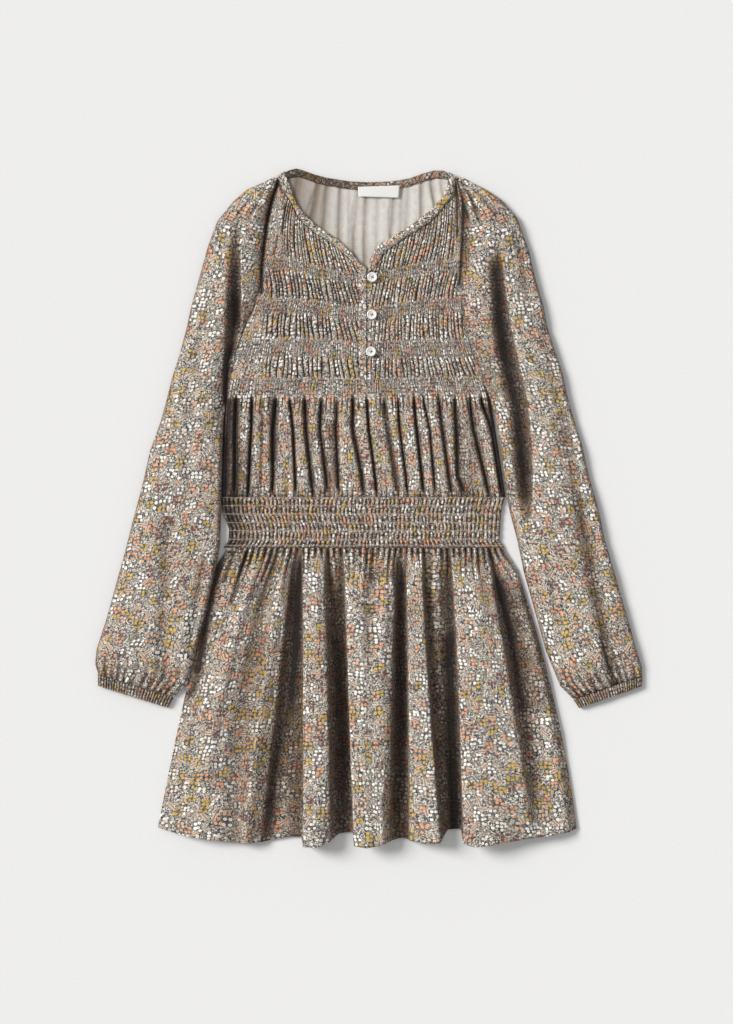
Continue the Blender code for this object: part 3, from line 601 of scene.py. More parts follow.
def skirt_shape():
    steps = skirt_columns(SKIRT_COLUMNS)
    down = (np.linspace(0, 1, SKIRT_ROWS + 1) ** 1.15)[:, None]
    rows = WAIST_SEAM + (SKIRT_LOW - WAIST_SEAM) * down[:, 0]
    lines = [fold_line(row, steps) for row in rows]
    x = drawn_in(np.array([line[0] for line in lines]), rows[:, None])
    x = rounded(across(x), 5)
    z = rounded(np.array([line[1] for line in lines]), 6)
    y = up(WAIST_SEAM) + (table_at(x, SKIRT_HEM) - up(WAIST_SEAM)) * down
    from_seam = up(WAIST_SEAM) - y
    z = SKIRT_LOWEST + (z - SKIRT_LOWEST) * (0.45 + 0.55 * ease(from_seam / 40))
    share = (x[:1] - x[0, 0]) / (x[0, -1] - x[0, 0])
    number = SKIRT_GATHERS * share + 0.3 * np.sin(9 * share) + 0.12 * np.sin(from_seam / 9 + 20 * share)
    reach = 14 + 46 * scatter(np.floor(number)) ** 2
    gather = (1 - np.cos(2 * np.pi * number)) / 2
    fade = 1 - ease(from_seam / reach)
    z = z + SKIRT_GATHER_HEIGHT * fade * (gather**0.5 - 0.5)
    z = z + 0.9 * ripple(x, y, 30.0) * ease(from_seam / 60) + 0.2 * ripple(x, y, 11.0)
    z = np.maximum(np.where(z > 22, 11 + z / 2, z), SKIRT_LOWEST - 0.2)
    flat_x = lengths(x, y * 0, z, axis=1)[SKIRT_ROWS // 4 :].mean(axis=0) + 0 * x
    return np.dstack((x, y, z, flat_x, from_seam))


skirt = skirt_shape()[::-1]
skirt_front = cloth(
    "skirt_front_cloth", skirt, cotton_pair,
    shade=painted_shade_lines(SKIRT_PAINTED_SHADE, skirt[:, :, 0], skirt[:, :, 1]),
)
print("hem of the front panel, laid out:", round(float(skirt[0, -1, 3])), "mm")

# %% [markdown]
# The back of the skirt lies flat on the table with its printed side down.
# It shows at the hem between the folds, with its pale side up.

# %% Skirt back


def back_panel(name, low_row, high_row, left_edge, right_edge, top, bottom, columns, rows, gathers):
    """A flat back panel: its edges in millimetres for each y, and its small gathers."""
    share = np.linspace(0, 1, columns + 1)[None, :]
    rise = np.linspace(0, 1, rows + 1)[:, None]
    y = low_row + (high_row - low_row) * rise + 0 * share
    x = left_edge(y) + (right_edge(y) - left_edge(y)) * share
    y = bottom(x) + (top(x) - bottom(x)) * rise
    z = 0.25 + 0.35 * (1 + ripple(x, y, 17.0)) / 2 + gathers(share, y)
    flat_x = 0.5 * (x - x[:, :1]) + 0.5 * share * np.max(x[:, -1] - x[:, 0])
    shape = np.dstack((x, y, z, flat_x, y))
    return cloth(name, shape[:, ::-1], cotton_pair)


def skirt_side(column):
    def edge(y):
        row = HEM_LINE - y / PIXEL
        return across(drawn_in(through(row, *SKIRT_FOLDS[column][:3]), row))

    return edge


skirt_back = back_panel(
    "skirt_back_cloth", up(SKIRT_LOW), up(WAIST_SEAM), skirt_side(0), skirt_side(-1),
    top=lambda x: up(WAIST_SEAM) + 0 * x, bottom=lambda x: table_at(x, SKIRT_HEM) + 2.5,
    columns=120, rows=60,
    gathers=lambda share, y: 0.3 * (1 - np.cos(2 * np.pi * 40 * share)) * ease((y - 270) / 40),
)

# %% [markdown]
# ## The bodice front
#
# The yoke is gathered between smocked bands. In a tier the cloth stands in narrow rounded
# puffs with a thin dark valley after each; in a band, rows of stitches hold it nearly flat.
# A puff is the curve that a point on a rolling wheel draws: broad on top and pinched where it
# meets the next. Level lines mark where bands begin and end, and gathers fan up to the binding.

# %% Body edges and level lines
BODY_EDGE = (
    # millimetres: y, left x, right x, along the raglan seams and the sides
    (703, -92, 93), (690, -97, 95.5), (678, -101, 97.5), (663, -104.5, 99), (643, -108, 100),
    (620, -110, 99.5), (591, -113, 99.5), (567, -120, 101), (545, -130, 104.5), (521, -138, 111.5),
    (499, -143.5, 120.5), (477, -147.5, 127.5), (456, -149.5, 131.5), (419, -151.5, 137.5),
    (395, -153, 141), (369, -153.5, 145), (352, -152, 141), (335, -145, 140), (322, -146, 139.5),
    (315, -151, 145),
)
SEAM = 0.5
TUCK = 0.7  # the front goes this far under the sleeve at a raglan seam


def body_side(column):
    rows = sorted(BODY_EDGE)
    heights, edges = [row[0] for row in rows], [row[column] for row in rows]
    return lambda y: np.interp(y, heights, edges)


left_side, right_side = body_side(1), body_side(2)

LEVEL_X = (236, 285, 323, 358, 376, 422, 462)
LEVELS = (
    # what the cloth above the line is, its grid rows, its stitched rows, the line's pixel rows
    ("folds", 30, 0, (497, 497, 497, 497, 497, 497, 497)),
    ("band", 12, 4, (394, 394, 394, 394, 393, 392, 392)),
    ("tier", 10, 0, (378.5, 378.5, 378.5, 379.5, 379.5, 377, 377)),
    ("band", 12, 4, (356, 354.5, 356, 359, 358, 356, 356)),
    ("tier", 10, 0, (340, 338.5, 340, 343, 342, 340, 340)),
    ("band", 9, 3, (312, 311, 314, 320.5, 319.5, 312, 310.5)),
    ("tier", 10, 0, (300, 299, 302, 308.5, 307.5, 300, 298.5)),
    ("band", 6, 2, (266, 267, 277.5, 282.5, 281, 272.5, 268)),
    ("top", 16, 0, (257, 258, 268.5, 273.5, 272, 263.5, 259)),
)
NECK_LEFT = (
    (-0.8, 603.8), (-11.6, 610.1), (-18.9, 619.5), (-28.4, 627.9), (-37.8, 636.3), (-52.5, 644.7),
    (-65.5, 655.2), (-73, 664.6), (-81.4, 681.5), (-89.5, 694), (-92, 701),
)
NECK_RIGHT = (
    (0.8, 603.8), (9, 609.5), (15, 621.6), (20.8, 629), (30.1, 634.2), (41, 642.6), (52.5, 649.3),
    (64, 656.8), (74.2, 666.1), (82.6, 677.2), (90.3, 686.7), (92.5, 701),
)
# Long creases of the lower bodice: pixels at rows 402, 430, 475 and 497, then the depth
LONG_CREASES = (
    (228, 227, 226, 226, 3.0), (236, 235, 235, 234, 4.6), (252, 251, 249, 248, 3.2),
    (263, 262, 261, 260, 1.6), (276, 273, 273, 272, 3.6), (290, 293, 295, 296, 3.8),
    (305, 306, 311, 313, 3.6), (321, 320, 326, 328, 3.2), (337, 336, 338, 339, 3.2),
    (353, 353, 362, 364, 3.6), (367, 369, 375, 377, 3.0), (384, 388, 396, 398, 3.8),
    (398, 400, 406, 408, 2.4), (414, 417, 422, 424, 3.8), (424, 430, 434, 436, 2.8),
    (439, 443, 449, 452, 3.4), (455, 457, 458, 466, 3.0), (470, 474, 485, 490, 3.8),
    (482, 492, 499, 503, 3.4),
)
CREASE_ROWS = (402, 430, 475, 497)
# Painted shade along the long creases, darker for deeper creases
CREASE_PAINTED_SHADE = tuple(
    (0.1 * crease[4], 2.0 + 2.0 * scatter(crease[1]), tuple(zip(crease, CREASE_ROWS)))
    for crease in LONG_CREASES
)
# How far the gathers lean outward as they go up, by side and level, near the slit and the seam
LEANS = {
    -1: {2: (0.2, 0.02), 4: (0.3, 0.2), 6: (0.36, 0.26)},
    1: {2: (0.05, -0.05), 4: (0.1, 0.1), 6: (0.2, 0.25)},
}
# Where the gathers begin beside the seam, in pixels by side and level
CALM = {-1: {2: 264, 4: 264, 6: 268, 8: 284}, 1: {2: 474, 4: 463, 6: 456, 8: 452}}
# Painted shade along the raglan seams, creases and beside the sleeves: how dark, half width and route in
# pixels
BODICE_PAINTED_SHADE = (
    (1.0, 1.7, ((279, 179), (273, 196), (268, 217), (264, 246), (262, 268), (261, 294))),
    (0.6, 1.5, ((285, 204), (284, 214), (281.5, 232))), (0.4, 1.6, ((276.5, 236), (273.5, 256))),
    (0.7, 1.8, ((463, 207), (462.5, 242), (461, 262), (459, 284))),
    (0.7, 1.5, ((456.5, 184), (457, 210), (457.2, 235))),
    (0.9, 1.8, ((226, 360), (225, 380), (225, 402))), (0.8, 2.2, ((223, 402), (223, 440), (223, 500))),
    (0.6, 5.0, ((235, 402), (235, 440), (235, 497))), (0.35, 4.0, ((228, 402), (228, 497))),
    (0.25, 6.0, ((243, 455), (245, 495))), (0.5, 5.0, ((271, 400), (273, 440), (272, 458))),
    (0.3, 6.0, ((330, 425), (334, 480))), (0.3, 12.0, ((460, 425), (468, 488))),
    (1.0, 2.4, ((488, 388), (492, 415), (496, 445), (500, 470), (503, 494))),
)
HALF_COLUMNS = 200
GATHERS = 25  # on each side of the slit
SLIT_HALF = 0.4
FLAT_STRIP = {-1: 9.0, 1: 4.5}  # millimetres beside the slit that aren't gathered, by side
STRIP_LIFT = {-1: 1.2, 1: 0.7}  # how far those strips stand up above the slit's foot
FRONT_BASE = 3.0
PUFF = 2.9
LOWER_SWELL = 3.0  # how far the lower bodice stands up between its creases
SEAM_DROP = 0.9
FLAT_PER_GATHER = 7.8  # millimetres of cloth taken up by one gather
SLIT_FOOT = 388

# %% Bodice front


def along(route, share):
    """Points at shares of a route's length."""
    route = np.array(route, float)
    run = np.concatenate(([0.0], np.cumsum(np.hypot(*np.diff(route, axis=0).T))))
    return tuple(np.interp(share, run / run[-1], route[:, axis]) for axis in (0, 1))


def level(number, x):
    return np.interp(x, across(LEVEL_X), up(LEVELS[number][3]))


def bodice_line(side, place, k, share):
    """Plan of a grid line from the seam to the slit, k of the way up one level's cloth."""
    edge = left_side if side < 0 else right_side
    top = LEVELS[place][0] == "top"
    y = np.full_like(share, level(place, 0.0))
    for _ in range(3):
        seam = edge(y) + side * TUCK
        x = seam + (side * SLIT_HALF - seam) * share
        low = level(place, x)
        y = low if top else low + (level(place + 1, x) - low) * k
    if top:
        neck_x, neck_y = along(NECK_LEFT if side < 0 else NECK_RIGHT, (1 - share) ** 0.8)
        straight_x = x + (neck_x - x) * k
        y = low + (neck_y - 0.6 - low) * k
        x = straight_x + (edge(y[0]) + side * TUCK - straight_x[0]) * (1 - share) ** 2
    return x, y


def swell_at(kind, k):
    """How far the gathers of a kind of level stand up, k of the way up it."""
    if kind == "tier":
        return np.sin(np.pi * k) ** 0.4
    if kind == "top":
        return min(1.0, 6 * k) ** 0.5 * (1 - 0.45 * ease((k - 0.7) / 0.3))
    if kind == "folds":
        swell = 0.8 * ease((k - 0.78) / 0.14) + 0.6 * (1 - ease(k / 0.15))
        return swell * max(0.0, (1 - k) / 0.1) ** 0.4 if k > 0.9 else swell
    return 0.0


def lower_folds(x, y, k):
    """The lower bodice stands up between its level lines and sinks in at each long crease."""
    body = ease(k / 0.12) * ease((1 - k) / 0.1)
    z = LOWER_SWELL * body
    for crease in LONG_CREASES:
        middle = np.interp(HEM_LINE - y / PIXEL, CREASE_ROWS, across(crease[:4]))
        width = 1.2 + 1.5 * scatter(crease[0]) ** 2
        depth = (1.1 + scatter(crease[2])) * crease[4] * body
        z = z - depth * np.exp(-((np.abs(x - middle) / width) ** 1.3))
    return z


def half_bodice(side):
    """One side of the bodice front, with columns from its seam to the slit."""
    share = np.linspace(0, 1, HALF_COLUMNS + 1)
    lines = []
    for place, (kind, count, stitched, _) in enumerate(LEVELS):
        for k in np.arange(count + (kind == "top")) / count:
            x, y = bodice_line(side, place, k, share)
            half = abs(x[0])
            gathered = 1 - FLAT_STRIP[side] / half
            inside = np.minimum(share / gathered, 1.0)
            pitch = half * gathered / GATHERS
            lean_near, lean_far = LEANS[side].get(place, (0.0, 0.0))
            lean = lean_near + (lean_far - lean_near) * (1 - inside)
            even = GATHERS * inside + lean * (y - level(place, x) - 17.0) / pitch
            wander = 0.22 * np.sin(1.3 * even + 2.1 * place) + 0.1 * np.sin(3.1 * even + 1.7 * place)
            wander = wander + 0.1 * np.sin(4.0 * k + 0.8 * np.floor(even))
            number = even + wander * np.minimum(1, 6 * (1 - inside)) * np.minimum(1, 6 * inside)
            crest = (1 - np.cos(2 * np.pi * number)) / 2
            unequal = 0.62 + 0.38 * scatter(np.floor(number), place + 3 * side)
            swell = swell_at(kind, k)
            if place in CALM[side]:
                past_calm = -side * (x / PIXEL + CENTRE_FRONT - CALM[side][place])
                swell = swell * (0.12 + 0.88 * ease(past_calm / 5 + 0.5))
            at_strip = ease((share - gathered) * half / 1.5)
            z = FRONT_BASE + PUFF * swell * unequal * crest**0.42 * (1 - at_strip)
            room = np.minimum(pitch, np.abs(np.gradient(x) / np.maximum(np.gradient(number), 0.03)))
            shift = 0.8 * np.sin(2 * np.pi * number) / (2 * np.pi) * room * swell
            x = x + side * shift * (1 - at_strip)
            if kind == "band":
                fine = (1 - np.cos(4 * np.pi * number)) / 2
                row_puff = abs(np.sin(np.pi * k * stitched))
                z = z + (0.7 + 0.9 * fine * (1 - at_strip)) * (0.25 + 0.75 * row_puff)
            if kind == "folds":
                z = z + lower_folds(x, y, k)
            z = z + at_strip * STRIP_LIFT[side] * ease((y - up(SLIT_FOOT + 6)) / 6)
            seam_z = FRONT_BASE - SEAM_DROP
            z = seam_z + (z - seam_z) * ease(share * half / 4.0)
            z = np.maximum(z + 0.2 * ripple(x, y, 13.0), 2.3)
            flat_x = FLAT_PER_GATHER * even + np.maximum(0, share - gathered) * half
            # Painted shade in the narrow valleys between puffs of the tiers and the top, kept as a sixth
            # column
            painted_valley_shade = np.exp(-crest / 0.11) * swell * (1 - at_strip) * (kind in ("tier", "top"))
            lines.append(np.column_stack((x, y, z, -side * flat_x, y, painted_valley_shade)))
    return np.array(lines)


left_half, right_half = half_bodice(-1), half_bodice(1)
for half in (left_half, right_half):
    half[:, :, 3] = half[:, :, 3] - half[:, -1:, 3]
bodice = np.concatenate((left_half, right_half[:, ::-1]), axis=1)
slit_row = int(np.argmax(bodice[:, HALF_COLUMNS, 1] > up(SLIT_FOOT)))
# Painted shade: the bodice's lines, its creases and the valleys between puffs
bodice_front = cloth(
    "bodice_front_cloth", bodice, cotton_pair, missing=(HALF_COLUMNS, slit_row), reach=3,
    shade=painted_shade_lines(BODICE_PAINTED_SHADE + CREASE_PAINTED_SHADE, bodice[:, :, 0], bodice[:, :, 1])
    + 0.8 * bodice[:, :, 5],
)

# %% [markdown]
# The back of the bodice shows its pale wrong side inside the neck, where it is gathered under
# the back binding. Its gathers are few and long, so each one is listed.

# %% Bodice back
NECK_GATHERS = (
    # pixels at the binding and lower down: x, x, then depth
    (296, 286, 1.2), (317, 306, 2.4), (326, 321, 2.0), (339.5, 338, 2.2), (349, 349, 1.0),
    (358, 353, 1.8), (366, 363.6, 2.2), (378, 376, 1.2), (394, 390, 2.4), (402, 400, 1.4),
    (408, 406, 1.2), (420.7, 420.7, 2.4), (430.5, 438, 2.4), (441, 448, 1.6),
)
BACK_NECK = (
    # millimetres along the top of the back binding
    (-87, 709.8), (-81.5, 712.4), (-74.5, 714.2), (-68, 712.5), (-55.7, 708), (-43, 704.6), (-30.5, 702.5),
    (-17.9, 700.6), (0, 699.8), (19.9, 700.4), (32.6, 701.6), (45, 704), (57.8, 708.6),
    (70, 712), (80.5, 712), (87, 708.6),
)
BINDING = 8.4


def bodice_back_shape():
    columns, rows = 170, 80
    share = np.linspace(0, 1, columns + 1)[None, :]
    rise = np.linspace(0, 1, rows + 1)[:, None]
    low = up(497) + 0.4
    y = low + (703 - low) * rise + 0 * share
    x = left_side(y) + SEAM + (right_side(y) - left_side(y) - 2 * SEAM) * share
    neck = np.interp(x, *np.array([(-91.5, 701), *BACK_NECK, (92.5, 701)]).T) - BINDING + 2.5
    y = low + (neck - low) * rise
    fade = ease((y - up(285)) / 60) * (1 - 0.5 * ease((y - neck + 9) / 9))
    z = 0.8 + 0.2 * ripple(x, y, 15.0) + 1.3 * fade
    for top, bottom, depth in NECK_GATHERS:
        middle = np.interp(y, (up(215), up(185)), (across(bottom), across(top)))
        away = (x - middle) / np.where(x < middle, 1.8, 5.5)
        z = z - depth * 0.55 * fade * np.exp(-(np.abs(away) ** 1.4))
    edge = np.exp(-np.minimum(share, 1 - share) * 90)
    z = np.maximum(z * (1 - 0.5 * edge), 0.5)
    flat_x = 1.25 * x
    return np.dstack((x, y, z, flat_x, y))


def back_painted_shade(x, y):
    """Painted shade: the cloth is darker and browner to the left, in the gathers and towards the slit."""
    dark = 0.38 * (1 - ease((x + 84) / 75)) + 0.1 * ease((up(225) - y) / 40)
    for top, bottom, depth in NECK_GATHERS:
        middle = np.interp(y, (up(235), up(185)), (across(bottom), across(top)))
        away = (x - middle) / np.where(x < middle, 1.6, 5.0)
        dark = dark + 0.15 * depth * np.exp(-(np.abs(away) ** 1.4))
    return dark


back_shape = bodice_back_shape()[:, ::-1]
bodice_back = cloth(
    "bodice_back_cloth", back_shape, cotton_pair, thickness=0.4, reach=0,
    shade=back_painted_shade(back_shape[:, :, 0], back_shape[:, :, 1]),
)

# %% [markdown]
# ## The shirred waist
#
# Seven rows of elastic thread draw the waist in, front and back. Between them the cloth
# swells into tiny upright puffs, and the thread shows as a thin pinkish-grey line.

# %% Waist
STITCH_ROWS = (545.5, 539.3, 530.7, 522.5, 514, 505.8, 497.5)
WAIST_GATHERS = 66
WAIST_FLAT = 520  # millimetres of cloth that the print is laid on
WAIST_TOP = 497
# Painted shade at both ends of the waist, in the shadow beside the sleeves
WAIST_PAINTED_SHADE = (
    (0.6, 6.0, ((224, 497), (229, 520), (226, 547))), (0.25, 12.0, ((236, 497), (238, 547))),
    (0.3, 3.0, ((505, 497), (499, 525), (505, 547))),
)


def waist_shape():
    rows = [(WAIST_SEAM - 0.4, 0.0)]
    for number, (low, high) in enumerate(zip(STITCH_ROWS, STITCH_ROWS[1:])):
        rows += [(low + (high - low) * k / 6, k / 6) for k in range(6)]
    rows += [(STITCH_ROWS[-1], 0.0), (WAIST_TOP + 0.4, 0.0)]
    columns = 6 * WAIST_GATHERS
    share = np.linspace(0, 1, columns + 1)
    shape = []
    for index, (row, k) in enumerate(rows):
        y = up(row)
        band = index // 6
        left, right = left_side(y), right_side(y)
        number = WAIST_GATHERS * share + (
            0.3 * np.sin(23 * share + 2.6 * band) + 0.22 * np.sin(61 * share + 4.1 * band)
        ) * np.sin(np.pi * share)
        crest = (1 - np.cos(2 * np.pi * number)) / 2
        swell = 0.3 + 0.7 * np.sin(np.pi * k)
        unequal = 0.7 + 0.3 * scatter(np.floor(number), band)
        z = FRONT_BASE + 0.5 * np.sin(np.pi * k) + 2.3 * swell * unequal * crest
        z = z + 0.3 * ripple(share * 290, y, 30.0) - 0.8 * np.exp(-np.minimum(share, 1 - share) * 120)
        x = left + (right - left) * (share - 0.6 * np.sin(2 * np.pi * number) / (2 * np.pi) / WAIST_GATHERS)
        level_y = np.full_like(x, y)
        shape.append(np.column_stack((x, level_y, z, WAIST_FLAT * share, level_y)))
    return np.array(shape)


waist = waist_shape()
waistband_front = cloth(
    "waistband_front_cloth", waist, cotton_pair,
    shade=painted_shade_lines(WAIST_PAINTED_SHADE, waist[:, :, 0], waist[:, :, 1]),
)
waistband_back = back_panel(
    "waistband_back_cloth", up(WAIST_SEAM) + 0.4, up(WAIST_TOP) - 0.4, left_side, right_side,
    top=lambda x: up(WAIST_TOP) - 0.4 + 0 * x, bottom=lambda x: up(WAIST_SEAM) + 0.4 + 0 * x,
    columns=264, rows=12,
    gathers=lambda share, y: 0.25 * (1 - np.cos(2 * np.pi * WAIST_GATHERS * share)),
)


def thread_lines(name, lines, radius, finish):
    """Lay threads along lines of points given in millimetres."""
    curve = bpy.data.curves.new(name, "CURVE")
    curve.dimensions = "3D"
    curve.bevel_depth = radius * MM
    curve.bevel_resolution = 0
    for line in lines:
        spline = curve.splines.new("POLY")
        spline.points.add(len(line) - 1)
        for point, (x, y, z) in zip(spline.points, line):
            point.co = ((x - ORIGIN[0]) * MM, (y - ORIGIN[1]) * MM, z * MM, 1.0)
    curve.materials.append(finish)
    made = bpy.data.objects.new(name, curve)
    bpy.context.collection.objects.link(made)
    return made


def on_row(shape, row, lift):
    """Every other point along one row of a shaped grid, lifted by a hair."""
    return shape[row, ::2, :3] + (0.0, 0.0, lift)


waist_rows = [1 + 6 * number for number in range(len(STITCH_ROWS))]
waist_threads = thread_lines(
    "waist_threads", [on_row(waist, row, 0.15) for row in waist_rows], 0.32, waist_thread
)
ROWS_PER_STITCH = 3  # grid rows between two stitched rows of a band
band_rows = []
first = 0
for kind, count, stitched, _ in LEVELS:
    if kind == "band":
        band_rows += [first + ROWS_PER_STITCH * number for number in range(stitched + 1)]
    first += count
halves = (bodice[:, : HALF_COLUMNS + 1], bodice[:, HALF_COLUMNS + 1 :])
smocking_threads = thread_lines(
    "smocking_threads",
    [on_row(half, row, 0.1) for row in band_rows for half in halves],
    0.3, smocking_thread,
)
bar_tack = thread_lines(
    "bar_tack",
    [[(across(px), up(391.5 + 0.5 * (number % 2)), 5.0) for number, px in enumerate(range(361, 377))]],
    0.45, waist_thread,
)

# %% [markdown]
# ## Sleeves and cuffs
#
# A sleeve is a tube pressed flat. Its cloth runs from the underarm over the top, round the
# outer fold and back underneath. Above the armpit it opens along the raglan seam, where it
# meets the body. Each deep crease has a soft side and a sharp side, as pressed cloth has.

# %% Sleeve sizes
SLEEVE_INNER = {
    "left": (
        (-151, 449), (-152, 418), (-152.5, 383), (-153.5, 353), (-154.5, 318),
        (-158.5, 296), (-167.5, 256), (-179.5, 208), (-188, 173), (-203, 158.5),
    ),
    "right": (
        (136, 449), (140, 420), (144, 388), (149.5, 355), (158, 323),
        (165, 289), (176.5, 248), (188, 207), (203, 170), (216.5, 156.5),
    ),
}
SLEEVE_OUTER = {
    "left": (
        (-98, 705), (-110, 699), (-126, 692), (-141, 679), (-158, 658), (-168, 630), (-177, 597),
        (-185, 569), (-190, 545), (-197, 519), (-205, 494), (-211, 470), (-217, 448), (-228, 418),
        (-236, 382), (-246, 345), (-254, 313), (-262, 284), (-273, 244), (-284.5, 208),
        (-286, 193), (-283, 183),
    ),
    "right": (
        (100, 705), (111, 699), (125, 692), (140, 682), (158, 662), (170, 629), (178, 595),
        (185, 572), (190, 546), (199, 519), (206, 498), (210, 478), (217, 452), (226, 424),
        (234, 388), (243, 358), (250, 324), (260, 290), (272, 249), (283, 209),
        (289, 190), (289.5, 181),
    ),
}
CUFF_ENDS = {
    "left": (((-203.4, 157.7), (-283.2, 182.3)), ((-209, 147), (-283, 170))),
    "right": (((216.9, 155.7), (289.7, 180.3)), ((223, 146.5), (289, 169.5))),
}
# Pressed creases: pixel row, x of the soft side, x of the sharp side, depth in millimetres
SHARP_CREASES = {
    "left": (
        ((176, 276, 281, 1.5), (205, 269, 274, 2), (231, 264, 268.5, 2.2), (260, 261, 266, 2.2),
         (285, 260.5, 265.5, 1.8), (302, 258, 262, 0)),
        ((229, 226, 238, 0), (262, 225, 240, 4), (300, 224, 240.5, 9), (340, 223.5, 239, 10),
         (359, 223, 233, 9), (390, 222, 229.5, 8), (402, 222, 228, 0)),
    ),
    "right": (
        ((180, 466, 455, 2), (205, 470, 459, 5), (230, 472, 461, 7), (262, 471, 460, 6),
         (290, 466, 457, 0)),
        ((240, 488, 498, 0), (280, 487, 503, 4), (320, 488, 508, 7), (350, 491, 514, 9),
         (380, 496, 521, 10), (409, 502, 526.5, 10), (449, 507, 530, 10), (483, 511, 531, 8),
         (506, 516, 530.5, 4), (535, 522, 531, 0)),
    ),
}
# Soft creases: depth and half width in millimetres, then a route in pixels
SOFT_CREASES = {
    "left": (
        (3.2, 8, ((170, 520), (168, 550), (163, 640), (165, 690))),
        (1.8, 6, ((190, 390), (189, 450), (186, 500))),
        (2.0, 5, ((212, 300), (200, 345), (196, 372))),
        (1.8, 2.2, ((271, 188), (266, 232))), (1.8, 2.2, ((265, 188), (250, 220))),
        (1.6, 2.4, ((258, 190), (238, 216))), (1.6, 4, ((205, 560), (190, 640))),
    ),
    "right": (
        (3.8, 8, ((565, 420), (571, 450), (581, 500), (588, 550), (598, 600), (607, 640), (618, 680))),
        (1.8, 2.2, ((462, 184), (467, 232))), (1.8, 2.2, ((466, 184), (480, 222))),
        (1.6, 2.4, ((472, 186), (496, 214))), (2.0, 5, ((520, 240), (528, 300))),
        (1.8, 5, ((548, 560), (560, 640))), (1.6, 5, ((545, 330), (556, 400))),
    ),
}
# Painted shade along the sleeves' seams, valleys and folds, with one painted highlight (below 0) on the
# left sleeve
SLEEVE_PAINTED_SHADE = {
    "left": (
        (1.0, 1.9, ((279, 179), (273, 196), (268, 217), (264, 246), (262, 268), (261, 294))),
        (-0.3, 8.0, ((255, 200), (251, 250), (250, 300))),
        (0.34, 5.5, ((236, 225), (234, 262), (232, 290))), (0.42, 6.5, ((232, 300), (231, 345))),
        (0.9, 2.6, ((229, 350), (226, 362), (225, 385), (225, 402))),
    ),
    "right": (
        (0.7, 1.8, ((463, 207), (462.5, 242), (461, 262), (459, 284))),
        (0.55, 1.4, ((458.5, 184), (462, 198), (468, 217))), (0.4, 1.4, ((462, 182), (474, 206))),
        (0.42, 7.5, ((494, 265), (497, 310), (501, 345), (508, 380), (515, 410), (519, 450), (523, 495))),
        (0.12, 14.0, ((494, 225), (492, 300), (494, 380))),
        (0.22, 6.0, ((576, 500), (588, 550), (600, 620), (611, 665))),
        (0.6, 2.2, ((601, 640), (608, 668), (616, 688))),
    ),
}
# Painted shade over each cuff, which lies under the sleeve's overhang
CUFF_PAINTED_SHADE = {
    "left": ((0.12, 12, ((97, 677), (173, 702))),), "right": ((0.12, 12, ((573, 704), (643, 681))),),
}
SLEEVE_CROWN = (5.0, 7.5, 10.0, 12.0, 13.0, 13.5)
ARMPIT = 11  # the station where a raglan seam ends
EDGE_RADIUS = 4.5

# %% Sleeves


def round_off(distance, radius):
    reach = np.clip(distance / radius, 0.0, 1.0)
    return np.sqrt(np.maximum(0.0, 1.0 - (1.0 - reach) ** 2))


def creases(side, x, y):
    """How far the creases of a sleeve press its cloth down."""
    px, row = x / PIXEL + CENTRE_FRONT, HEM_LINE - y / PIXEL
    deep = np.zeros_like(x)
    for table in SHARP_CREASES.get(side, ()):
        rows = np.array(table, float)
        soft, sharp, depth = (np.interp(row, rows[:, 0], rows[:, at]) for at in (1, 2, 3))
        step = (px - soft) / (sharp - soft)
        into = ease(step / 0.85)
        back = 1 - ease((step - 0.93) / 0.2)
        deep = deep + depth * into * back
    for depth, half_width, route in SOFT_CREASES.get(side, ()):
        steps = np.linspace(0, 1, 25)
        route_x, route_y = along(route, steps)
        near = np.min(
            [np.hypot(px - one_x, row - one_y) for one_x, one_y in zip(route_x, route_y)], axis=0
        )
        deep = deep + depth * np.exp(-((near * PIXEL / half_width) ** 2))
    return deep


def pressed_tube(side, inner, outer, crown, closed, over, under, flutes, flute_reach):
    """A tube of cloth pressed flat, from its seam over the top and back under."""
    column = np.arange(over + under + 1)[None, :]
    turn = column - over
    step = np.where(turn <= 0, column / over, 1 - turn / under)
    share = (1 - np.cos(np.pi * step)) / 2 * 0.6 + step * 0.4
    width = np.hypot(*(outer - inner).T)[:, None]
    distance = width * share
    crown, closed = crown[:, None], closed[:, None]
    radius = np.minimum(EDGE_RADIUS, 0.45 * width)
    at_seam = 1 - closed + closed * round_off(distance, radius)
    rolled = at_seam * round_off(width - distance, radius)
    x = inner[:, :1] + (outer - inner)[:, :1] * share
    y = inner[:, 1:] + (outer - inner)[:, 1:] * share
    middle = np.minimum(3.0, crown / 2)
    seam_z = 3.0
    edge = seam_z + (np.minimum(8.0, 0.75 * crown) - seam_z) * np.maximum(share, closed)
    top = edge + (crown - edge) * (1 - np.abs(2 * share - 1) ** 2.6)
    top = top - creases(side, x, y) + 0.7 * ripple(x, y, 24.0) + 0.3 * ripple(y, x, 9.0)
    number = flutes * share + 0.25 * np.sin(11 * share + len(side))
    flute = (1 - np.cos(2 * np.pi * number)) / 2
    top = top - flute_reach[:, None] * (1 - flute**0.6) * (0.6 + 0.4 * scatter(np.floor(number)))
    top = np.maximum(top, 3.2)
    upper = middle + (top - middle) * rolled + 0.15
    lower = middle - (middle - 0.3) * rolled - 0.15
    z = np.where(turn <= 0, upper, lower)
    return x, y, z


def face_outward(made):
    """Turn every face of a closed form outward."""
    bm = bmesh.new()
    bm.from_mesh(made.data)
    bmesh.ops.recalc_face_normals(bm, faces=bm.faces)
    bm.to_mesh(made.data)
    bm.free()
    return made


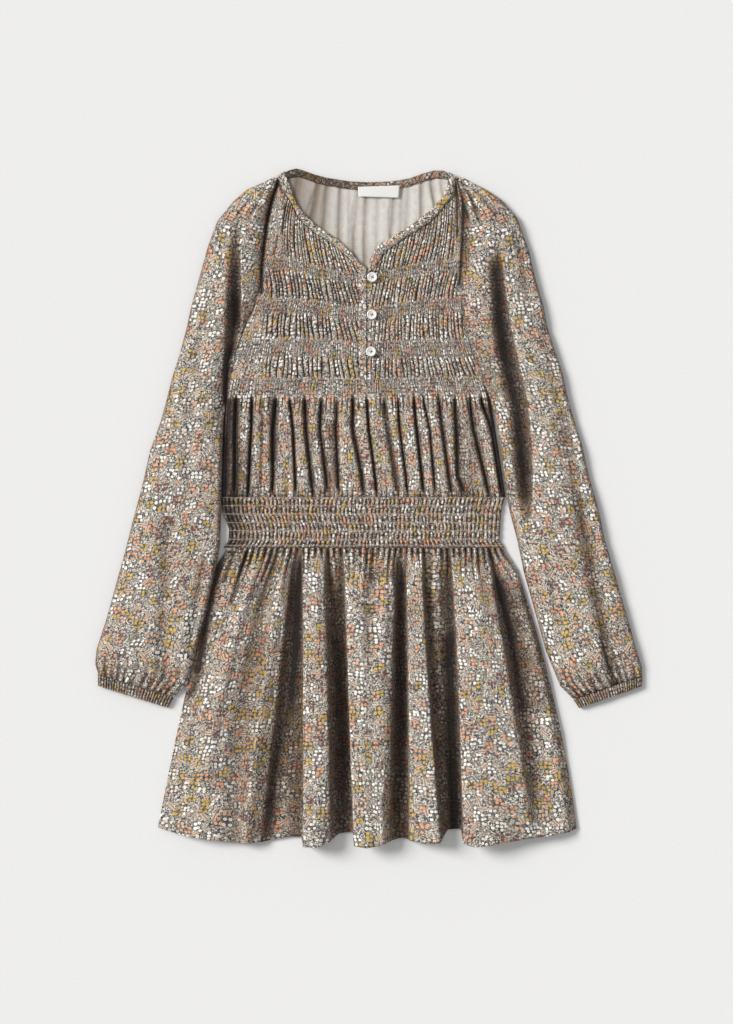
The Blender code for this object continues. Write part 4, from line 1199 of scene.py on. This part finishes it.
def tube_cloth(name, x, y, z, over, gather=1.0, dark=()):
    across_cloth = lengths(x, y, z, axis=1)
    flat_x = (across_cloth - across_cloth[:, over // 2 : over // 2 + 1]) * gather
    down = lengths(x[:, over // 2], y[:, over // 2], 0 * x[:, 0], axis=0)[:, None] + 0 * x
    shape = np.dstack((x, y, z, flat_x, down))
    # dark holds lines of painted shade
    made = cloth(name, shape, cotton_pair, shade=painted_shade_lines(dark, x, y))
    return face_outward(made)


def sleeve(side):
    edge = left_side if side == "left" else right_side
    outward = -0.1 if side == "left" else 0.1
    heights = [row[0] for row in BODY_EDGE[: ARMPIT + 1]]
    seam = [(float(edge(height)) + outward, height) for height in heights]
    inner, outer = np.array(seam + list(SLEEVE_INNER[side])), np.array(SLEEVE_OUTER[side])
    middle = (inner + outer) / 2
    run = np.concatenate(([0.0], np.cumsum(np.hypot(*np.diff(middle, axis=0).T))))
    station = np.interp(np.linspace(0, run[-1], 131), run, np.arange(len(inner)))
    numbers = np.arange(len(inner))
    inner, outer = (
        np.column_stack([np.interp(station, numbers, points[:, axis]) for axis in (0, 1)])
        for points in (inner, outer)
    )
    crown = np.interp(station, range(len(SLEEVE_CROWN)), SLEEVE_CROWN)
    to_cuff = run[-1] * (1 - np.linspace(0, 1, 131))
    crown = crown - 5.0 * (1 - ease(to_cuff / 40))
    closed = ease((station - ARMPIT) / 2)
    flute_reach = 2.4 * (1 - ease(to_cuff / 42))
    x, y, z = pressed_tube(side, inner, outer, crown, closed, 100, 30, 11, flute_reach)
    return tube_cloth(f"sleeve_{side}_cloth", x, y, z, 100, dark=SLEEVE_PAINTED_SHADE[side])


def cuff(side):
    (start_in, start_out), (end_in, end_out) = CUFF_ENDS[side]
    steps = np.linspace(0, 1, 11)[:, None]
    inner = np.array(start_in) + (np.array(end_in) - start_in) * steps
    outer = np.array(start_out) + (np.array(end_out) - start_out) * steps
    swell = np.sin(np.pi * steps[:, 0])
    crown = 6.6 + 1.2 * swell
    x, y, z = pressed_tube("cuff", inner, outer, crown, np.ones(11), 150, 40, 26, 1.4 + 0 * crown)
    return tube_cloth(f"cuff_{side}_cloth", x, y, z, 150, 1.7, CUFF_PAINTED_SHADE[side])


sleeves = {side: sleeve(side) for side in ("left", "right")}
cuffs = {side: cuff(side) for side in ("left", "right")}

# %% [markdown]
# ## Neck binding, label, buttons and loops
#
# The neck is bound with a bias tape of the same print. Tape is cut on the slant, folded round
# the raw edge and stitched. We wrap a strip round a flattened ring that follows the neckline.

# %% Binding
NECK_INNER_LEFT = (
    (-86.5, 711), (-81.4, 698), (-77.7, 685), (-70, 671), (-62.6, 663), (-50.5, 652.6),
    (-36, 643), (-25, 634.5), (-15.5, 625), (-8, 615.5), (-0.8, 609.5),
)
NECK_INNER_RIGHT = (
    (86.5, 710), (84.5, 695), (80.5, 685), (70, 672.5), (59, 663.5), (48, 655.5), (37, 648.5),
    (26.5, 641.5), (16, 636), (7.7, 627.5), (2.5, 616), (0.8, 609.5),
)


def tape(name, outer, inner, low, high, shade=0.0):
    """Bias tape folded round an edge, between its two long edges."""
    steps = np.linspace(0, 1, 150)
    edge_a = np.column_stack(along(outer, steps))
    edge_b = np.column_stack(along(inner, steps))
    angle = np.linspace(-np.pi / 2 + 0.03, 1.5 * np.pi - 0.03, 21)[:, None]
    wide, tall = np.sign(np.cos(angle)) * np.abs(np.cos(angle)) ** 0.7, np.sin(angle)
    share = 0.5 + 0.5 * wide
    x = edge_a[:, 0] + (edge_b - edge_a)[:, 0] * share
    y = edge_a[:, 1] + (edge_b - edge_a)[:, 1] * share
    middle, half = (low + high) / 2, (high - low) / 2
    z = middle + half * np.sign(tall) * np.abs(tall) ** 0.8 + 0 * x
    pucker = 0.25 * np.sin(55 * steps) * np.sin(173 * steps)[None, :] * (tall > 0)
    z = z + pucker
    along_tape = lengths(x, y, 0 * z, axis=1)[10:11] + 0 * x
    around = lengths(x, y, z, axis=0)
    shape = np.dstack((x, y, z, along_tape * 0.7 - around * 0.7, along_tape * 0.7 + around * 0.7))
    made = cloth(name, shape, (print_cotton,), thickness=0.5, shade=shade)
    return face_outward(made)


outer_left = [(-95.3, 705.4)] + list(reversed(NECK_LEFT))
outer_right = [(95.5, 704.5)] + list(reversed(NECK_RIGHT))
tapes = {
    "left": tape("neck_binding_left_cloth", outer_left, NECK_INNER_LEFT, 1.9, 6.6),
    "right": tape("neck_binding_right_cloth", outer_right, NECK_INNER_RIGHT, 1.9, 6.6),
    # Painted shade on the back binding, darkest at its left end
    "back": tape(
        "neck_binding_back_cloth", [(x, y - BINDING) for x, y in BACK_NECK], BACK_NECK, 0.4, 4.2,
        shade=0.25 + 0.4 * (1 - ease(np.linspace(0, 1, 150)[None, :] / 0.7)),
    ),
}

# %% Label
LABEL_CORNERS = ((-9, 684.5), (33.5, 683), (34.5, 696), (-9.5, 694.5))


def label_shape():
    a, b, c, d = (np.array(corner, float) for corner in LABEL_CORNERS)
    u, v = np.linspace(0, 1, 41)[None, :, None], np.linspace(0, 1, 13)[:, None, None]
    flat = (1 - v) * ((1 - u) * a + u * b) + v * ((1 - u) * d + u * c)
    x, y = flat[:, :, 0], flat[:, :, 1]
    z = 4.9 + 0.35 * np.sin(5 * u[:, :, 0] + 0.5) * (1 - v[:, :, 0]) + 0 * x
    z = z - 0.4 * np.exp(-np.minimum(u, 1 - u)[:, :, 0] * 40)
    return np.dstack((x, y, z, x, y))


label = cloth("label_cloth", label_shape(), (label_satin,), thickness=0.5)


def stitches(start, end, count, z):
    """A row of separate stitches between two points."""
    places = np.linspace(0, 1, 2 * count)
    points = [(*(np.array(start) + (np.array(end) - start) * share), z) for share in places]
    return list(zip(points[::2], points[1::2]))


label_stitches = thread_lines(
    "label_stitches",
    stitches((-8.0, 693.2), (-7.6, 686.2), 4, 5.1) + stitches((33.0, 694.4), (32.2, 684.6), 5, 5.1),
    0.16, sewing_thread("label thread", "#cfcac4"),
)

# %% Buttons
BUTTONS = ((372.2, 277), (371.8, 314.5), (371, 351.5))  # pixels
BUTTON_LOW = 6.9
BUTTON_PROFILE = (
    (0.0, 0.0), (4.2, 0.0), (5.0, 0.5), (5.25, 1.2), (5.05, 1.9), (4.5, 2.2), (3.9, 2.05),
    (3.4, 1.55), (2.6, 1.35), (0.0, 1.3),
)
HOLE = 0.62
HOLE_REACH = 1.45
TIE_POINTS = ((-1, 0.4), (-1, 1.4), (0, 1.9), (1, 1.4), (1, 0.4))  # side of the middle, height


def turned_button(name, x, y, angle):
    bm = bmesh.new()
    verts = [bm.verts.new((radius * MM, 0.0, height * MM)) for radius, height in BUTTON_PROFILE]
    edges = [bm.edges.new(pair) for pair in zip(verts, verts[1:])]
    bmesh.ops.spin(
        bm, geom=verts + edges, cent=(0, 0, 0), axis=(0, 0, 1), angle=2 * math.pi, steps=40,
        use_merge=True,
    )
    bmesh.ops.remove_doubles(bm, verts=bm.verts, dist=0.00002)
    bmesh.ops.recalc_face_normals(bm, faces=bm.faces)
    mesh = bpy.data.meshes.new(name)
    bm.to_mesh(mesh)
    bm.free()
    drill = bmesh.new()
    for turn in range(4):
        where = angle + math.pi / 4 + turn * math.pi / 2
        across_hole, up_hole = HOLE_REACH * math.cos(where), HOLE_REACH * math.sin(where)
        spot = Matrix.Translation((across_hole * MM, up_hole * MM, 0))
        bmesh.ops.create_cone(
            drill, cap_ends=True, segments=12, radius1=HOLE * MM, radius2=HOLE * MM, depth=10 * MM,
            matrix=spot,
        )
    drill_mesh = bpy.data.meshes.new("drill")
    drill.to_mesh(drill_mesh)
    drill.free()
    button = bpy.data.objects.new(name, mesh)
    cutter = bpy.data.objects.new("drill", drill_mesh)
    for made in (button, cutter):
        bpy.context.collection.objects.link(made)
    holes = button.modifiers.new("holes", "BOOLEAN")
    holes.object = cutter
    holes.operation = "DIFFERENCE"
    holes.solver = "EXACT"
    seen = button.evaluated_get(bpy.context.evaluated_depsgraph_get())
    drilled = bpy.data.meshes.new_from_object(seen)
    button.modifiers.clear()
    button.data = drilled
    bpy.data.objects.remove(cutter, do_unlink=True)
    drilled.transform(
        Matrix.Translation(((x - ORIGIN[0]) * MM, (y - ORIGIN[1]) * MM, BUTTON_LOW * MM))
    )
    drilled.materials.clear()
    drilled.materials.append(pearl)
    for face in drilled.polygons:
        face.use_smooth = True
    drilled.set_sharp_from_angle(angle=math.radians(40))
    return button


buttons = []
ties = []
for number, (px, row) in enumerate(BUTTONS, start=1):
    x, y, angle = float(across(px)), float(up(row)), 0.25 * number
    buttons.append(turned_button(f"button_{number}_pearl", x, y, angle))
    for turn in (0, 1):
        where = angle + math.pi / 4 + turn * math.pi / 2
        reach = (HOLE_REACH * math.cos(where), HOLE_REACH * math.sin(where))
        ties.append([
            (x + way * reach[0], y + way * reach[1], BUTTON_LOW + height)
            for way, height in TIE_POINTS
        ])
button_ties = thread_lines("button_ties", ties, 0.34, button_thread)
print(len(buttons), "buttons with", len(ties), "ties")

# %% Loops


LOOP_START_X = -3.0
LOOP_REACH = 9.3
LOOP_HALF_HEIGHT = 3.2
LOOP_Z = 6.0
LOOP_RADIUS = 0.65
LOOP_SPECK = 1.6  # millimetres across a speck of its print


def rouleau_cotton():
    made, tree, shader = new_material("rouleau of the print", 0.85)
    place = object_place(tree)
    specks = add(tree, "ShaderNodeTexVoronoi", {"Vector": place, "Scale": 1000 / LOOP_SPECK})
    tone = split_colour(tree, specks.outputs["Color"])[0]
    tree.links.new(ramp(tree, tone, GROUND, "CONSTANT"), shader.inputs["Base Color"])
    weave(tree, shader, place, 0.3)
    return made


loop_finish = rouleau_cotton()
loops = []
for number, (_, row) in enumerate(BUTTONS, start=1):
    arc = [
        (
            LOOP_START_X + LOOP_REACH * math.cos(turn),
            float(up(row)) + LOOP_HALF_HEIGHT * math.sin(turn),
            LOOP_Z,
        )
        for turn in np.linspace(math.pi / 2, -math.pi / 2, 15)
    ]
    loops.append(thread_lines(f"loop_{number}_rouleau", [arc], LOOP_RADIUS, loop_finish))

# %% [markdown]
# ## The table, the light and the camera
#
# The dress lies on a plain pale table. One wide soft lamp stands low at the upper left, so
# that the folds show and a faint shadow falls to the right, and a pale sky fills the rest.

# %% Table


def table_paper():
    made, tree, shader = new_material("pale table", 0.9)
    grain = noise(tree, object_place(tree), 400.0, 2.0)["Fac"]
    colour = ramp(tree, grain, ((0.3, "#e8e8e8"), (0.7, "#ebebeb")))
    tree.links.new(colour, shader.inputs["Base Color"])
    raise_bump(tree, shader, grain, 0.05, 0.0002)
    return made


bm = bmesh.new()
bmesh.ops.create_grid(bm, x_segments=1, y_segments=1, size=3.0)
floor_mesh = bpy.data.meshes.new("table")
bm.to_mesh(floor_mesh)
bm.free()
floor_mesh.materials.append(table_paper())
table = bpy.data.objects.new("table", floor_mesh)
bpy.context.collection.objects.link(table)
table.location.z = -0.0003

# %% Light
LAMP_DIRECTION = (-1.0, 0.45, 0.8)
LAMP_STRENGTH = 3.12
ROOM_STRENGTH = 0.46

light = bpy.data.lights.new("wide lamp", "SUN")
light.energy = LAMP_STRENGTH
light.angle = math.radians(24)
light.color = (1.0, 0.99, 0.975)
wide_lamp = bpy.data.objects.new("wide lamp", light)
wide_lamp.rotation_mode = "QUATERNION"
wide_lamp.rotation_quaternion = Vector(LAMP_DIRECTION).to_track_quat("Z", "Y")
bpy.context.collection.objects.link(wide_lamp)

world = bpy.data.worlds.new("pale room")
bpy.context.scene.world = world
world.use_nodes = True
room = world.node_tree.nodes["Background"]
room.inputs["Color"].default_value = (1.0, 1.0, 1.0, 1.0)
room.inputs["Strength"].default_value = ROOM_STRENGTH

# %% Camera
PICTURE_HEIGHT = 1.0752  # metres of the table seen from top to bottom of the picture
LENS = 100.0
SENSOR = 36.0
camera_data = bpy.data.cameras.new("camera")
camera_data.lens = LENS
camera_data.sensor_width = SENSOR
camera = bpy.data.objects.new("camera", camera_data)
camera.location = (-0.0024, -0.005, LENS / SENSOR * PICTURE_HEIGHT + 0.008)
bpy.context.collection.objects.link(camera)
scene = bpy.context.scene
scene.camera = camera
scene.view_settings.view_transform = "Standard"
scene.view_settings.look = "None"

# %% [markdown]
# ## Joining the solid parts
#
# Each sheet takes the place of its solid, and its cut and how it is held are printed.
# Cloth has no joints, so everything rides on the one body.

# %% Replace, ride and print the cuts
PANELS = (
    # piece, the solid it stands for, its cut in metres, how it is held
    (skirt_front, "skirt_front", (0.60, 0.31), "gathered"),
    (skirt_back, "skirt_back", (0.50, 0.30), "laid"),
    (bodice_front, "bodice_front", (0.34, 0.30), "gathered"),
    (bodice_back, "bodice_back", (0.30, 0.34), "gathered"),
    (waistband_front, "waistband_front", (0.46, 0.056), "gathered"),
    (waistband_back, "waistband_back", (0.30, 0.056), "gathered"),
    (sleeves["left"], "sleeve_left", (0.20, 0.55), "laid"),
    (sleeves["right"], "sleeve_right", (0.20, 0.55), "laid"),
    (cuffs["left"], "cuff_left", (0.19, 0.012), "gathered"),
    (cuffs["right"], "cuff_right", (0.19, 0.012), "gathered"),
    (tapes["left"], "neck_binding_left", (0.15, 0.022), "folded"),
    (tapes["right"], "neck_binding_right", (0.15, 0.022), "folded"),
    (tapes["back"], "neck_binding_back", (0.17, 0.022), "folded"),
    (label, "label", (0.044, 0.012), "laid"),
)
for piece, solid, cut, held in PANELS:
    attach(piece, "root")
    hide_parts(solid)
    print(piece.name, "cut", cut, held)
for number in range(3):
    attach(buttons[number], "root")
    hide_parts(f"button_{number + 1}")
    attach(loops[number], "root")
    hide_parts(f"loop_{number + 1}")
for piece in (waist_threads, smocking_threads, bar_tack, label_stitches, button_ties):
    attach(piece, "root")
